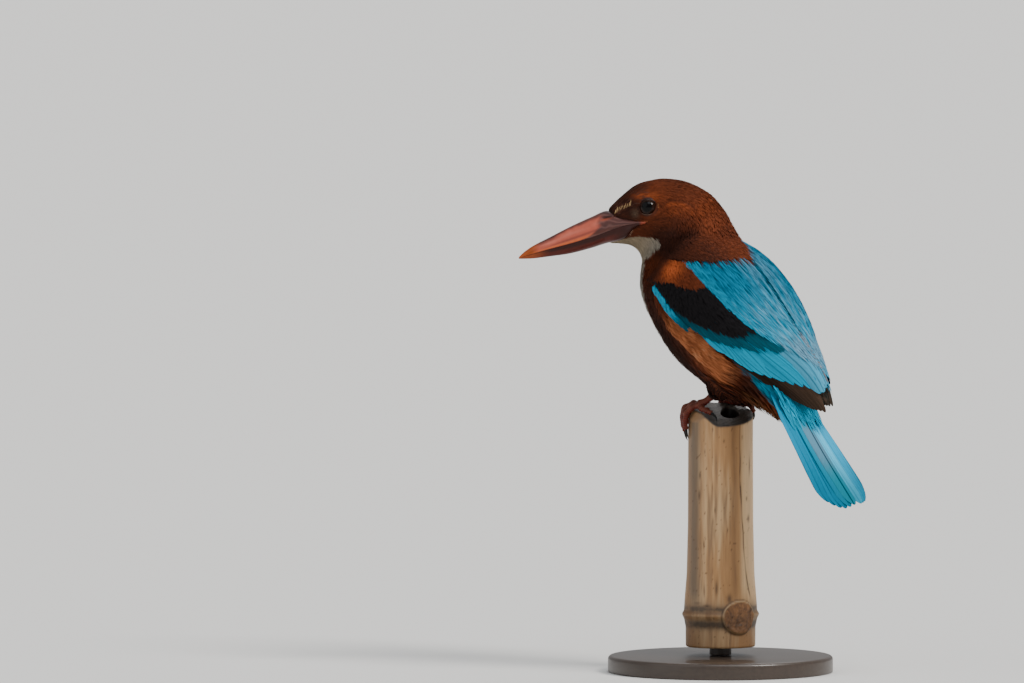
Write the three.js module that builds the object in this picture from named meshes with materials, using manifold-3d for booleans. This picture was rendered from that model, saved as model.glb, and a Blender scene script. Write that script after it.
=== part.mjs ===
// A white-throated kingfisher, life size, gripping the cut end of a bamboo stem on a plain display stand.
// Millimetres, +Z up. The origin is the centre of the stand's underside. The bird's body faces -X, its left is -Y,
// and its head is turned to its left.
import * as THREE from "three";
import { mergeVertices } from "three/addons/utils/BufferGeometryUtils.js";
import Module from "manifold-3d";

const wasm = await Module();
wasm.setup();

const gap = 0.3; // clearance between neighbouring pieces
const degrees = Math.PI / 180;

// ---------------------------------------------------------------- driving sizes
const stand = { baseRadius: 62, baseHeight: 9, edge: 2, rodRadius: 6, rodShows: 5 };
const stem = {
  length: 128,
  topRadius: 17.8,
  nodeRadius: 20.8,
  footRadius: 19.2,
  nodeAbove: 18, // height of the joint ring above the lower cut
  boreRadius: 6.4,
  boreOffset: 5.2, // the hollow lies off the axis
  boreDepth: 40,
  cutSlope: 17 * degrees, // the upper cut
  cutFacing: -50 * degrees, // compass angle of that cut's low side, from +X: the bird's left and back
  shoulder: 3.4, // a stub of the wall left standing over the cut, under the left foot
  shoulderFrom: 7.5, // its distance from the axis
  shoulderSlope: 11 * degrees,
  bevelFacing: -105 * degrees, // the stub's outer corner is worn off
  bevelSlope: 65 * degrees, // from level
  bevelFrom: 14.7,
};
const stemFoot = stand.baseHeight + stand.rodShows;
const rim = stemFoot + stem.length; // height of the upper cut at the stem's axis

const headTurn = 40 * degrees; // head to the bird's left
const neckPivot = -22; // x of the upright line that the head turns about
const bodyPitch = 43.1 * degrees; // the body's axis below horizontal, towards the tail
const bodyStart = [-16.3, 72.1]; // x and height over the rim of the axis at the shoulders

// ---------------------------------------------------------------- small helpers
const vec = (x, y, z) => new THREE.Vector3(x, y, z);

// A smooth line through a short table of numbers: rows of [at, value, value, ...].
function smoothTable(rows) {
  return (at) => {
    const last = rows.length - 2;
    let i = rows.findIndex((row) => row[0] > at) - 1;
    if (i < 0) i = at < rows[0][0] ? 0 : last;
    const [before, from, to, after] = [i - 1, i, i + 1, i + 2].map((k) => rows[THREE.MathUtils.clamp(k, 0, last + 1)]);
    const span = to[0] - from[0];
    const f = THREE.MathUtils.clamp((at - from[0]) / span, 0, 1);
    return from.slice(1).map((value, k) => {
      const slopeIn = ((to[k + 1] - before[k + 1]) / Math.max(to[0] - before[0], 1e-6)) * span;
      const slopeOut = ((after[k + 1] - value) / Math.max(after[0] - from[0], 1e-6)) * span;
      const f2 = f * f;
      const f3 = f2 * f;
      return (
        (2 * f3 - 3 * f2 + 1) * value +
        (f3 - 2 * f2 + f) * slopeIn +
        (3 * f2 - 2 * f3) * to[k + 1] +
        (f3 - f2) * slopeOut
      );
    });
  };
}

// A closed mesh as a manifold-3d solid, turned outwards if it was made inside out.
function solid(geometry) {
  const bare = geometry.clone();
  bare.deleteAttribute("normal");
  bare.deleteAttribute("uv");
  const merged = mergeVertices(bare, 1e-4);
  const triVerts = new Uint32Array(merged.index.array);
  const made = () =>
    new wasm.Manifold(new wasm.Mesh({ numProp: 3, vertProperties: merged.attributes.position.array, triVerts }));
  const first = made();
  if (first.volume() > 0) return first;
  for (let i = 0; i < triVerts.length; i += 3) [triVerts[i + 1], triVerts[i + 2]] = [triVerts[i + 2], triVerts[i + 1]];
  return made();
}

// Skins a row of rings, each with the same number of points, and closes both ends.
function loft(rings) {
  const around = rings[0].length;
  const places = rings.flat().flatMap((p) => [p.x, p.y, p.z]);
  const faces = [];
  for (let r = 0; r + 1 < rings.length; r++)
    for (let k = 0; k < around; k++) {
      const a = r * around + k;
      const b = r * around + ((k + 1) % around);
      faces.push(a, b, a + around, b, b + around, a + around);
    }
  for (const r of [0, rings.length - 1]) {
    const centre = rings[r].reduce((sum, p) => sum.add(p), vec(0, 0, 0)).divideScalar(around);
    const c = places.length / 3;
    places.push(centre.x, centre.y, centre.z);
    for (let k = 0; k < around; k++) {
      const a = r * around + k;
      const b = r * around + ((k + 1) % around);
      faces.push(...(r === 0 ? [c, b, a] : [c, a, b]));
    }
  }
  const geometry = new THREE.BufferGeometry();
  geometry.setAttribute("position", new THREE.Float32BufferAttribute(places, 3));
  geometry.setIndex(faces);
  return solid(geometry);
}

const union = (pieces) => wasm.Manifold.union(pieces);

// The largest closed body of a solid, without sealed hollows or loose scraps.
function largest(made) {
  return made.decompose().reduce((best, body) => (body.volume() > best.volume() ? body : best));
}

// ---------------------------------------------------------------- the bird's body
// Stations from the bill's root to the tail's root, with the head straight ahead: x and height over the rim of the
// back line and of the belly line, half the width, and the share of the head's turn.
const bodyStations = smoothTable([
  [0, -67.7, 111.7, -66.6, 93.5, 7.4, 1],
  [1, -60.5, 118.8, -60.5, 93.3, 9.9, 1],
  [2, -51.7, 125.7, -54.5, 92.3, 12.7, 1],
  [3, -42.9, 128.4, -50.4, 89.3, 14.9, 1],
  [4, -34.1, 129.2, -48.4, 84.8, 16.8, 1],
  [5, -22, 126.8, -48.8, 80, 18.8, 0.97],
  [6, -12, 119.5, -49.3, 75, 20.8, 0.86],
  [7, -4.5, 110.5, -49.3, 69.2, 22.8, 0.66],
  [8, 0.8, 101.5, -47.8, 62.3, 25, 0.42],
  [9, 5.6, 94.2, -43.8, 53.4, 27, 0.2],
  [10, 11.8, 87.8, -35.6, 41.5, 28.6, 0.06],
  [11, 19.6, 80.4, -27.7, 32.5, 29.6, 0],
  [12, 26.8, 73.3, -19.6, 25.5, 30, 0],
  [13, 34.6, 66, -10.8, 19.9, 29.6, 0],
  [14, 40, 57.6, -2.2, 15, 28.2, 0],
  [15, 45.4, 48.6, 8, 11.6, 25.6, 0],
  [16, 52, 35, 24, 8.2, 20.6, 0],
  [17, 57.5, 22, 38.5, 0.2, 15, 0],
  [18, 61.5, 9.2, 49.3, -5.3, 11.4, 0],
  [19, 65, -3.4, 59, -11, 8.6, 0],
]);
const lastStation = 17;
const join = 0.035; // share of a station left open at each side of a cut across the body
const neckFrom = 5.2;
const neckTo = 8.6;

function turned(point, share) {
  const angle = headTurn * share;
  const x = point.x - neckPivot;
  return vec(
    neckPivot + x * Math.cos(angle) - point.y * Math.sin(angle),
    x * Math.sin(angle) + point.y * Math.cos(angle),
    point.z,
  );
}

function bodyRing(at, around, grow = 0) {
  const [topX, topZ, lowX, lowZ, half, share] = bodyStations(at);
  const deep = Math.hypot(topX - lowX, topZ - lowZ);
  const more = grow / deep;
  return Array.from({ length: around }, (_, k) => {
    const angle = (k / around) * 2 * Math.PI;
    const up = 0.5 + (0.5 + more) * Math.cos(angle);
    const side = Math.sign(Math.sin(angle)) * Math.abs(Math.sin(angle)) ** 0.92;
    const point = vec(lowX + (topX - lowX) * up, (half + grow) * side, rim + lowZ + (topZ - lowZ) * up);
    return turned(point, share);
  });
}

function bodyLength(from, to, steps, around, grow) {
  const rings = Array.from({ length: steps + 1 }, (_, i) =>
    bodyRing(from + ((to - from) * i) / steps, around, grow),
  );
  return loft(rings);
}

// ---------------------------------------------------------------- the bill
// x, culmen height, mouth-line height, gonys height and half width, with the head straight ahead.
const billTable = smoothTable([
  [-116.2, 85.9, 85.3, 84.9, 0.5],
  [-113, 88.9, 86.4, 84.9, 1.1],
  [-108, 92.3, 87.9, 85.1, 1.9],
  [-100, 96.4, 90.2, 86.1, 3],
  [-88, 102.6, 93.4, 87.8, 4.6],
  [-76, 108.1, 97, 90.9, 6.3],
  [-67.5, 111.4, 100.2, 93.6, 7.9],
  [-60, 108.6, 102.9, 97.2, 10.6],
  [-53, 106.8, 104.6, 101.8, 13.2],
  [-46.4, 106.2, 105.5, 104.5, 15.2],
]);

function billSolid(upper) {
  const from = -116.2;
  const to = -46.4;
  const steps = 13;
  const rings = Array.from({ length: steps + 1 }, (_, i) => {
    const x = from + (to - from) * (i / steps);
    const [culmen, mouth, gonys, half] = billTable(x);
    const edge = mouth + (upper ? gap : -gap) / 2;
    const height = upper ? culmen - edge : gonys - edge;
    const profile = [
      [-1, 0], [-0.93, 0.3], [-0.74, 0.62], [-0.42, 0.9], [0, 1], [0.42, 0.9], [0.74, 0.62], [0.93, 0.3], [1, 0],
    ];
    return profile.map(([side, up]) => turned(vec(x, side * half, rim + edge + height * up), 1));
  });
  return loft(rings);
}

// A slit on each side of the upper bill, close to the feathers.
const nostril = { x: -67.4, height: 107.4, side: 4.9, length: 4.2, width: 1.1 };

function nostrils() {
  return union(
    [-1, 1].map((side) => {
      const slit = new THREE.SphereGeometry(0.5, 8, 6);
      slit.scale(nostril.length, 2.4, nostril.width);
      slit.rotateY(24 * degrees);
      slit.rotateZ(headTurn + side * 9 * degrees);
      const centre = turned(vec(nostril.x, side * nostril.side, rim + nostril.height), 1);
      return solid(slit).translate(centre.x, centre.y, centre.z);
    }),
  );
}

// ---------------------------------------------------------------- eyes
const eye = { x: -44.8, height: 113.6, side: 11.2, radius: 5.2, lid: 0.8, narrowing: 14 * degrees, lean: 7 * degrees };

function eyeAt(side) {
  return turned(vec(eye.x, side * eye.side, rim + eye.height), 1);
}

function ball(radius, centre, across = 14, high = 9) {
  return solid(new THREE.SphereGeometry(radius, across, high)).translate(centre.x, centre.y, centre.z);
}

// A ring of skin round the opening, set square to the side of the head, which narrows towards the bill and the crown.
function lidRing(side) {
  const ring = new THREE.TorusGeometry(eye.radius - 0.7, eye.lid, 5, 14);
  ring.rotateX(Math.PI / 2 - side * eye.lean);
  ring.rotateZ(-side * eye.narrowing + headTurn);
  const out = eye.side + 2.5;
  const centre = turned(vec(eye.x - 0.6, side * out, rim + eye.height + 0.3), 1);
  return solid(ring).translate(centre.x, centre.y, centre.z);
}

// ---------------------------------------------------------------- the folded wings and the tail
// Along the body's axis from the shoulders: distance out to the ridge where the wings meet, and to the wing's
// lower edge: how far out and how far to the side.
const wingTable = smoothTable([
  [-12, 32.6, -9.4, 25],
  [5, 36.2, -6.5, 33],
  [20, 36.6, -5, 37],
  [40, 34.6, -2, 36.4],
  [60, 31.6, 1.5, 29.6],
  [76, 29.2, 3, 20.8],
  [90, 27.4, 4.6, 13.4],
  [100, 24.8, 5.6, 9.4],
  [110, 20.6, 6.6, 6.4],
  [122, 15, 7, 3.6],
]);
const squareness = 2.9; // 2 would make the wings' cross-section an ellipse

// A point on the folded wing: how far along, the angle from the ridge, and how far out of the surface.
function onWing(along, angle, lift, side) {
  const [ridge, low, wide] = wingTable(along);
  const c = Math.cos(angle);
  const s = Math.sin(angle);
  const swell = (Math.abs(c) ** squareness + s ** squareness) ** (-1 / squareness);
  const out = low + (ridge - low) * c * swell;
  const across = wide * s * swell;
  const slopeOut = (Math.sign(c) * (Math.abs(c) * swell) ** (squareness - 1)) / (ridge - low);
  const slopeAcross = (s * swell) ** (squareness - 1) / wide;
  const size = Math.hypot(slopeOut, slopeAcross);
  const height = out + (lift * slopeOut) / size;
  const y = across + (lift * slopeAcross) / size;
  return vec(
    bodyStart[0] + along * Math.cos(bodyPitch) + height * Math.sin(bodyPitch),
    side * y,
    rim + bodyStart[1] - along * Math.sin(bodyPitch) + height * Math.cos(bodyPitch),
  );
}

// ---------------------------------------------------------------- feathers
// A steady run of numbers from -1 to 1, so that no two feathers are quite alike.
function shuffle(seed) {
  let state = seed;
  return () => {
    state = (state * 16807) % 2147483647;
    return (state / 2147483647) * 2 - 1;
  };
}

const vaneThick = 0.5;
const shaftRise = 0.2; // a vane is raised a little along its shaft
// Share of the length and of the width: a body feather with a round end, and a long stiff one.
const roundVane = [[0, 0.7], [0.55, 1], [0.86, 0.8], [1, 0.34]];
const longVane = [[0, 0.62], [0.5, 1], [0.9, 0.84], [1, 0.34]];

// One feather as a thin closed blade. at(share, across, lift) is the point at that share of its length, so many
// millimetres across from the shaft and out of the surface. The edge on the positive side is tilted up.
function vane(at, shape, width, tilt) {
  const rings = shape.map(([share, wide]) => {
    const half = (width / 2) * wide;
    const point = (edge, face) =>
      at(share, edge * half, face * vaneThick + (edge * tilt * wide) / 2 + (edge === 0 ? shaftRise : 0));
    return [point(-1, 0), point(0, 0), point(1, 0), point(1, 1), point(0, 1), point(-1, 1)];
  });
  return loft(rings);
}

// A curve that leaves the core steeply and then runs along with the surface.
const risen = (share, from, to) => to + (from - to) * (1 - share) ** 1.5;

// Rows of wing feathers, from the lowest to the one nearest the back. Roots and tips are rows of share of the row,
// millimetres along the wing and degrees from the ridge. Lift is how far each is out of the wing's surface, and
// stack is how much higher each feather lies than the one below it.
const wingRows = {
  primaries: {
    count: 3, width: 6.5, tilt: 0.2, stack: 0.7, shape: longVane, lift: [-7.2, -4.8],
    roots: [[0, 38, 86], [1, 44, 76]],
    tips: [[0, 103, 95], [0.5, 114, 92], [1, 121, 84]],
  },
  secondaries: {
    count: 6, width: 8.6, tilt: 0.2, stack: 0.62, shape: longVane, lift: [-7.2, -3.6],
    roots: [[0, 18, 84], [0.5, 34, 72], [1, 46, 52]],
    tips: [[0, 60, 89], [0.4, 83, 87], [0.8, 99, 78], [1, 105, 62]],
  },
  tertials: {
    count: 3, width: 10, tilt: 0.3, stack: 0.65, shape: longVane, lift: [-6, -2.2],
    roots: [[0, 44, 44], [1, 46, 12]],
    tips: [[0, 107, 46], [0.5, 104, 28], [1, 97, 10]],
  },
  greater: {
    count: 6, width: 8.4, tilt: 1.3, stack: 0, shape: roundVane, lift: [-5.6, -1.8],
    roots: [[0, -3, 84], [0.4, 12, 80], [1, 46, 42]],
    tips: [[0, 18, 89], [0.35, 36, 88], [0.7, 60, 76], [1, 78, 46]],
  },
  median: {
    count: 6, width: 7.8, tilt: 1.3, stack: 0, shape: roundVane, lift: [-5.2, -1.1],
    roots: [[0, -8, 80], [0.4, 8, 72], [1, 38, 44]],
    tips: [[0, 13, 86], [0.4, 35, 80], [0.75, 54, 70], [1, 65, 52]],
  },
  lesser: {
    count: 4, width: 9, tilt: 1.2, stack: 0, shape: roundVane, lift: [-5.2, -0.6],
    roots: [[0, -13, 72], [1, 6, 42]],
    tips: [[0, 2, 79], [0.5, 17, 66], [1, 33, 52]],
  },
  shoulder: {
    count: 3, width: 10, tilt: 1, stack: 0, shape: roundVane, lift: [-5.2, -0.4],
    roots: [[0, -15, 66], [1, -12, 44]],
    tips: [[0, -1, 72], [1, 9, 48]],
  },
  longScapulars: {
    count: 4, width: 12.5, tilt: 0.4, stack: 0.3, shape: roundVane, lift: [-5.2, -1.2],
    roots: [[0, 34, 48], [1, 34, 5.5]],
    tips: [[0, 74, 47], [0.5, 84, 30], [1, 80, 5.5]],
  },
  scapulars: {
    count: 4, width: 13, tilt: 1.1, stack: 0, shape: roundVane, lift: [-5, -0.2],
    roots: [[0, 10, 46], [1, 12, 5.5]],
    tips: [[0, 50, 48], [0.5, 57, 29], [1, 54, 5.5]],
  },
  frontScapulars: {
    count: 4, width: 13, tilt: 1.1, stack: 0, shape: roundVane, lift: [-5, 0],
    roots: [[0, -9, 45], [1, -3, 5.5]],
    tips: [[0, 26, 48], [0.5, 32, 29], [1, 29, 5.5]],
  },
};

const millimetresPerDegree = (along, angle) =>
  onWing(along, angle + 0.5 * degrees, 0, 1).distanceTo(onWing(along, angle - 0.5 * degrees, 0, 1));

function wingRow(row, side, vary) {
  const roots = smoothTable(row.roots);
  const tips = smoothTable(row.tips);
  return Array.from({ length: row.count }, (_, i) => {
    const t = i / (row.count - 1);
    const [rootAlong, rootAngle] = roots(t);
    const [tipAlong, tipAngle] = tips(t);
    const longer = 1.2 * vary();
    const bend = 1.2 * vary();
    const at = (share, across, lift) => {
      const along = THREE.MathUtils.lerp(rootAlong, tipAlong + longer, share);
      const middle = THREE.MathUtils.lerp(rootAngle, tipAngle, share) + bend * Math.sin(share * Math.PI);
      const angle = (middle + across / millimetresPerDegree(along, middle * degrees)) * degrees;
      const raise = risen(share, ...row.lift) + row.stack * i * Math.min(1, share * 3);
      return onWing(along, Math.max(angle, 0.7 * degrees), lift + raise, side);
    };
    return vane(at, row.shape, row.width * (1 + 0.05 * vary()), row.tilt);
  });
}

// The folded arm and hand that the wing feathers grow from, between the body and the feathers.
function wingCore(side) {
  const rings = [];
  const across = 5;
  for (let along = -9; along <= 55; along += 12.8) {
    const last = THREE.MathUtils.smoothstep(along, 26, 56);
    const first = THREE.MathUtils.smoothstep(-along, -6, 10);
    const inner = (7 + 30 * last + 30 * first) * degrees;
    const outer = (88 - 8 * first) * degrees;
    const top = -4.5 - 0.8 * first - 0.6 * last;
    const angle = (k) => inner + ((outer - inner) * k) / across;
    const ring = [];
    for (let k = 0; k <= across; k++) ring.push(onWing(along, angle(k), top, side));
    for (let k = across; k >= 0; k--) ring.push(onWing(along, angle(k), -9.5 + 2 * last, side));
    rings.push(ring);
  }
  return loft(rings);
}

function wingSolid(side, seed) {
  const vary = shuffle(seed);
  const feathers = Object.values(wingRows).flatMap((row) => wingRow(row, side, vary));
  return union([wingCore(side), ...feathers]);
}

// ---------------------------------------------------------------- the tail
const tail = {
  root: [46, 18.8], // x and height over the rim, where the feathers leave the rump
  pitch: 52.4 * degrees,
  length: 80.5,
  pairs: 6,
  width: 9.8,
  step: 1, // each pair lies this much under the next one in
  rootHalf: 9,
  tipHalf: 18.4,
};

// A point over the tail: how far along it, how far to the side and how far up.
function onTail(along, side, up) {
  return vec(
    tail.root[0] + along * Math.cos(tail.pitch) + up * Math.sin(tail.pitch),
    side,
    rim + tail.root[1] - along * Math.sin(tail.pitch) + up * Math.cos(tail.pitch),
  );
}

// Twelve tail feathers, the middle pair on top, each next pair lower and a little shorter.
function rectrices(vary) {
  const feathers = [];
  for (let pair = 0; pair < tail.pairs; pair++)
    for (const side of [-1, 1]) {
      const share = (pair + 0.5) / tail.pairs;
      const length = tail.length - 5 * share ** 2 + 0.5 * vary();
      const start = side * tail.rootHalf * share;
      const end = side * tail.tipHalf * share;
      const under = -tail.step * (pair + (side > 0 ? 0.5 : 0));
      const at = (f, across, lift) => {
        const rise = 1.6 * Math.sin(f * Math.PI);
        return onTail(length * (0.2 + 0.8 * f), start + (end - start) * f - side * across, under + lift + rise);
      };
      feathers.push(vane(at, longVane, tail.width, 0.2 * share));
    }
  return feathers;
}

// Rows of coverts over and under the tail's root. The body's end tapers into them.
const covertRows = [
  { count: 4, from: 12, to: 43, half: 10.5, arch: 3.5, up: [4.2, 2.6], width: 10.4 },
  { count: 4, from: 2, to: 29, half: 11, arch: 6, up: [7.4, 6], width: 10.6 },
  { count: 3, from: 17, to: 42, half: 7, arch: 1.6, up: [-9, -7.6], width: 10 },
  { count: 3, from: 9, to: 31, half: 8, arch: 3, up: [-13, -11], width: 11 },
];

function tailCoverts(vary) {
  return covertRows.flatMap((row) =>
    Array.from({ length: row.count }, (_, i) => {
      const across = (i / (row.count - 1)) * 2 - 1;
      const sign = Math.sign(row.up[0]);
      const end = row.to - 5 * across ** 2 + vary();
      const at = (f, sideways, lift) =>
        onTail(
          row.from + (end - row.from) * f,
          across * row.half * (0.75 + 0.25 * f) + sideways,
          row.up[0] + (row.up[1] - row.up[0]) * f - sign * (row.arch * across ** 2 * (1 - 0.3 * f) - lift) + 0.35 * (i % 2),
        );
      return vane(at, roundVane, row.width, 0.6 * across);
    }),
  );
}

function tailSolid() {
  const vary = shuffle(77);
  const rump = bodyLength(lastStation + join, lastStation + 2, 4, 24);
  const torsoRoom = bodyLength(neckTo, lastStation + join, 12, 24, gap + 0.1);
  return union([rump, ...rectrices(vary), ...tailCoverts(vary)]).subtract(torsoRoom);
}

// ---------------------------------------------------------------- legs and feet
// Height of the upper cut over the rim's middle.
const acrossCut = (x, y) => x * Math.cos(stem.cutFacing) + y * Math.sin(stem.cutFacing);
const rimSlope = (x, y) => -Math.tan(stem.cutSlope) * acrossCut(x, y);

function tube(points, radii, around = 6) {
  const curve = new THREE.CatmullRomCurve3(points, false, "centripetal");
  const steps = radii.length - 1;
  const frames = curve.computeFrenetFrames(steps, false);
  const rings = radii.map((radius, i) => {
    const centre = curve.getPoint(i / steps);
    return Array.from({ length: around }, (_, k) => {
      const angle = (k / around) * 2 * Math.PI;
      return centre
        .clone()
        .addScaledVector(frames.normals[i], radius * Math.cos(angle))
        .addScaledVector(frames.binormals[i], radius * Math.sin(angle));
    });
  });
  return loft(rings);
}

const leg = { toeRadius: 1.55, clawRadius: 0.95, shankRadius: 1.75 };

// Points of each foot as x, y and height over the rim: the shank from the belly to the foot's root, the hind toe,
// the outer front toe, which the other two front toes lie beside, and where each claw goes.
const feet = {
  left: {
    shank: [[3.5, -9.6, 11.5], [0, -12.6, 7.9], [-3.4, -14.6, 5.4]],
    hind: [[-3.4, -14.6, 5.2], [-0.9, -15.6, 3.7], [2.3, -15.3, 2.6], [5.4, -14.6, 1.1]],
    hindClaw: [[8.2, -14.7, -0.9], [9.4, -14.9, -4]],
    outer: [[-3.4, -14.6, 5.2], [-6.5, -16, 4.4], [-9.8, -17.2, 0.7], [-11.3, -16.8, -4.4], [-11.3, -16.3, -8.4]],
    clawDrop: [[0.1, 0.7, -2.6], [0.5, 1.7, -5]],
    beside: [[0, 0, 0], [-1.5, 1.8, 0.7], [-2.7, 1.9, 0.9], [-2.5, 1.9, 0], [-2.4, 2, -1.2]],
  },
  right: {
    shank: [[4.5, 9.6, 11.8], [3, 11.2, 8.6], [1.6, 12.2, 6]],
    hind: [[1.6, 12.2, 5.8], [4.6, 14.2, 5.4], [7.4, 16.8, 4.4], [8.9, 18.2, 0.4]],
    hindClaw: [[9, 18.2, -2], [8.5, 17.6, -4.2]],
    outer: [[1.6, 12.2, 5.8], [-2.6, 14.6, 6.9], [-6.4, 17.4, 6.6], [-8.4, 19, 1.6], [-8.2, 18.4, -2.8]],
    clawDrop: [[0.4, -0.6, -2.6], [0.9, -1.6, -4.8]],
    beside: [[0, 0, 0], [-1.9, -1.2, 0.2], [-2.6, -0.9, 0.5], [-2.8, -0.9, 0], [-2.7, -0.8, -1]],
  },
};

const raised = ([x, y, z]) => vec(x, y, rim + z);

// The line of each toe of a foot. The middle and inner toes repeat the outer one, further along beside it.
function toeLines(side) {
  const shape = feet[side];
  const shifted = (times, drop) =>
    shape.outer.map((p, i) => p.map((value, k) => value + shape.beside[i][k] * times - (k === 2 && i > 3 ? drop : 0)));
  return { hind: shape.hind, outer: shape.outer, middle: shifted(1, 0), inner: shifted(2, -3) };
}

function footSolid(side) {
  const pieces = Object.values(toeLines(side)).map((line) => {
    const steps = (line.length - 1) * 2;
    const joints = line.length - 1;
    const radii = Array.from({ length: steps + 1 }, (_, i) => {
      const f = i / steps;
      return leg.toeRadius * (1.12 - 0.3 * f) * (1 + 0.07 * Math.cos(f * Math.PI * 2 * joints));
    });
    return tube(line.map(raised), radii);
  });
  pieces.push(tube(feet[side].shank.map(raised), [1.9, 1.75, 1.65, 1.7, 1.9].map((r) => (r * leg.shankRadius) / 1.75)));
  return largest(union(pieces));
}

function clawSolid(side, toe) {
  const line = toeLines(side)[toe];
  const tip = raised(line[line.length - 1]);
  const before = raised(line[line.length - 2]);
  const start = tip.clone().add(tip.clone().sub(before).normalize().multiplyScalar(gap + 0.15));
  const ends = toe === "hind" ? feet[side].hindClaw.map(raised) : feet[side].clawDrop.map((p) => tip.clone().add(vec(...p)));
  return tube([start, ...ends], [1, 1, 0.8, 0.5, 0.14].map((r) => r * leg.clawRadius), 6);
}

function thighSolid(side) {
  const ankle = raised(feet[side].shank[0]);
  const across = Math.sign(ankle.y);
  const top = ankle.clone().add(vec(9, across * 4, 9));
  const low = ankle.clone().lerp(raised(feet[side].shank[1]), 0.45);
  return tube([top, ankle.clone().add(vec(2.5, across * 1.4, 2)), low], [8, 8.4, 7.4, 5, 2.6], 10);
}

// ---------------------------------------------------------------- the bamboo stem and the stand
function stemSolid() {
  const profile = [
    [0, 0], [stem.footRadius - 0.4, 0], [stem.footRadius, 0.8],
    [stem.footRadius + 0.1, stem.nodeAbove - 7],
    [stem.nodeRadius - 0.6, stem.nodeAbove - 2.5],
    [stem.nodeRadius + 0.4, stem.nodeAbove],
    [stem.nodeRadius - 0.5, stem.nodeAbove + 2],
    [stem.nodeRadius - 0.9, stem.nodeAbove + 7],
    [stem.topRadius + 0.9, stem.nodeAbove + 22],
    [stem.topRadius + 0.2, stem.nodeAbove + 50],
    [stem.topRadius, stem.length + 12],
    [0, stem.length + 12],
  ].map(([r, z]) => new THREE.Vector2(r, z));
  const body = new THREE.LatheGeometry(profile, 28);
  body.rotateX(Math.PI / 2);
  const along = Math.cos(stem.cutFacing);
  const across = Math.sin(stem.cutFacing);
  const lowering = new THREE.Matrix4().makeRotationAxis(vec(-across, along, 0), stem.cutSlope);
  // The main cut stops short of the stub under the left foot, and a higher cut tops that stub.
  const reach = 60;
  const cut = new THREE.BoxGeometry(120, reach, 40).translate(0, reach / 2 - stem.shoulderFrom, 20);
  cut.applyMatrix4(new THREE.Matrix4().makeRotationZ(stem.cutFacing));
  cut.applyMatrix4(lowering);
  const stubTop = new THREE.BoxGeometry(120, 120, 40).translate(0, 0, 20 + stem.shoulder);
  stubTop.applyMatrix4(new THREE.Matrix4().makeRotationAxis(vec(-across, along, 0), stem.shoulderSlope));
  const bevel = new THREE.BoxGeometry(30, 60, 60).translate(15 + stem.bevelFrom, 0, 0);
  bevel.rotateY(stem.bevelSlope - Math.PI / 2);
  bevel.rotateZ(stem.bevelFacing);
  const bore = new THREE.CylinderGeometry(stem.boreRadius, stem.boreRadius, stem.boreDepth, 16);
  bore.rotateX(Math.PI / 2);
  const socketHigh = 14;
  const socket = new THREE.CylinderGeometry(stand.rodRadius + gap, stand.rodRadius + gap, socketHigh, 16);
  socket.rotateX(Math.PI / 2);
  const right = 40 * degrees; // the hollow is off to the side that the bird's right foot grips
  return largest(
    solid(body)
      .translate(0, 0, stemFoot)
      .subtract(solid(cut).translate(0, 0, rim))
      .subtract(solid(stubTop).translate(0, 0, rim))
      .subtract(solid(bevel).translate(0, 0, rim))
      .subtract(
        solid(bore).translate(
          stem.boreOffset * Math.cos(right),
          stem.boreOffset * Math.sin(right),
          rim + 12 - stem.boreDepth / 2,
        ),
      )
      .subtract(solid(socket).translate(0, 0, stemFoot + socketHigh / 2 - 1)),
  );
}

function rodSolid() {
  const top = stemFoot + 12 - gap;
  const bottom = stand.baseHeight + gap;
  const rod = new THREE.CylinderGeometry(stand.rodRadius, stand.rodRadius, top - bottom, 16);
  rod.rotateX(Math.PI / 2);
  return solid(rod).translate(0, 0, (top + bottom) / 2);
}

function baseSolid() {
  const profile = [
    [0, 0], [stand.baseRadius - 0.6, 0], [stand.baseRadius, 0.6],
    [stand.baseRadius, stand.baseHeight - stand.edge],
    [stand.baseRadius - stand.edge * 0.3, stand.baseHeight - stand.edge * 0.3],
    [stand.baseRadius - stand.edge, stand.baseHeight],
    [0, stand.baseHeight],
  ].map(([r, z]) => new THREE.Vector2(r, z));
  const base = new THREE.LatheGeometry(profile, 40);
  base.rotateX(Math.PI / 2);
  return solid(base);
}

// ---------------------------------------------------------------- materials and the finished group
const finishes = {
  chestnut: { color: 0x5f2a14, roughness: 0.75 },
  blue: { color: 0x138fb5, roughness: 0.6 },
  bill: { color: 0xa8452f, roughness: 0.4 },
  leg: { color: 0x7c2c22, roughness: 0.55 },
  claw: { color: 0x1c1614, roughness: 0.4 },
  eye: { color: 0x0f0a09, roughness: 0.05 },
  bamboo: { color: 0xb18e62, roughness: 0.6 },
  stand: { color: 0x2a2522, roughness: 0.45 },
};

const bird = new THREE.Group();

function add(name, made, finish) {
  const { numProp, vertProperties, triVerts } = made.getMesh();
  const places = new Float32Array((vertProperties.length / numProp) * 3);
  for (let i = 0; i * numProp < vertProperties.length; i++)
    places.set(vertProperties.subarray(i * numProp, i * numProp + 3), i * 3);
  const geometry = new THREE.BufferGeometry();
  geometry.setAttribute("position", new THREE.BufferAttribute(places, 3));
  geometry.setIndex(new THREE.BufferAttribute(triVerts, 1));
  geometry.computeVertexNormals();
  const material = new THREE.MeshStandardMaterial({ metalness: 0, ...finishes[finish] });
  const mesh = new THREE.Mesh(geometry, material);
  mesh.name = name;
  bird.add(mesh);
}

const bill = { upper: billSolid(true), lower: billSolid(false) };
let head = bodyLength(0, neckFrom - join, 10, 22);
const neck = bodyLength(neckFrom + join, neckTo - join, 6, 24);
const torso = bodyLength(neckTo + join, lastStation, 12, 24);
const bodyRoom = bodyLength(neckFrom - 1, lastStation + 1, 16, 24, gap + 0.1); // the body with the clearance round it

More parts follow.
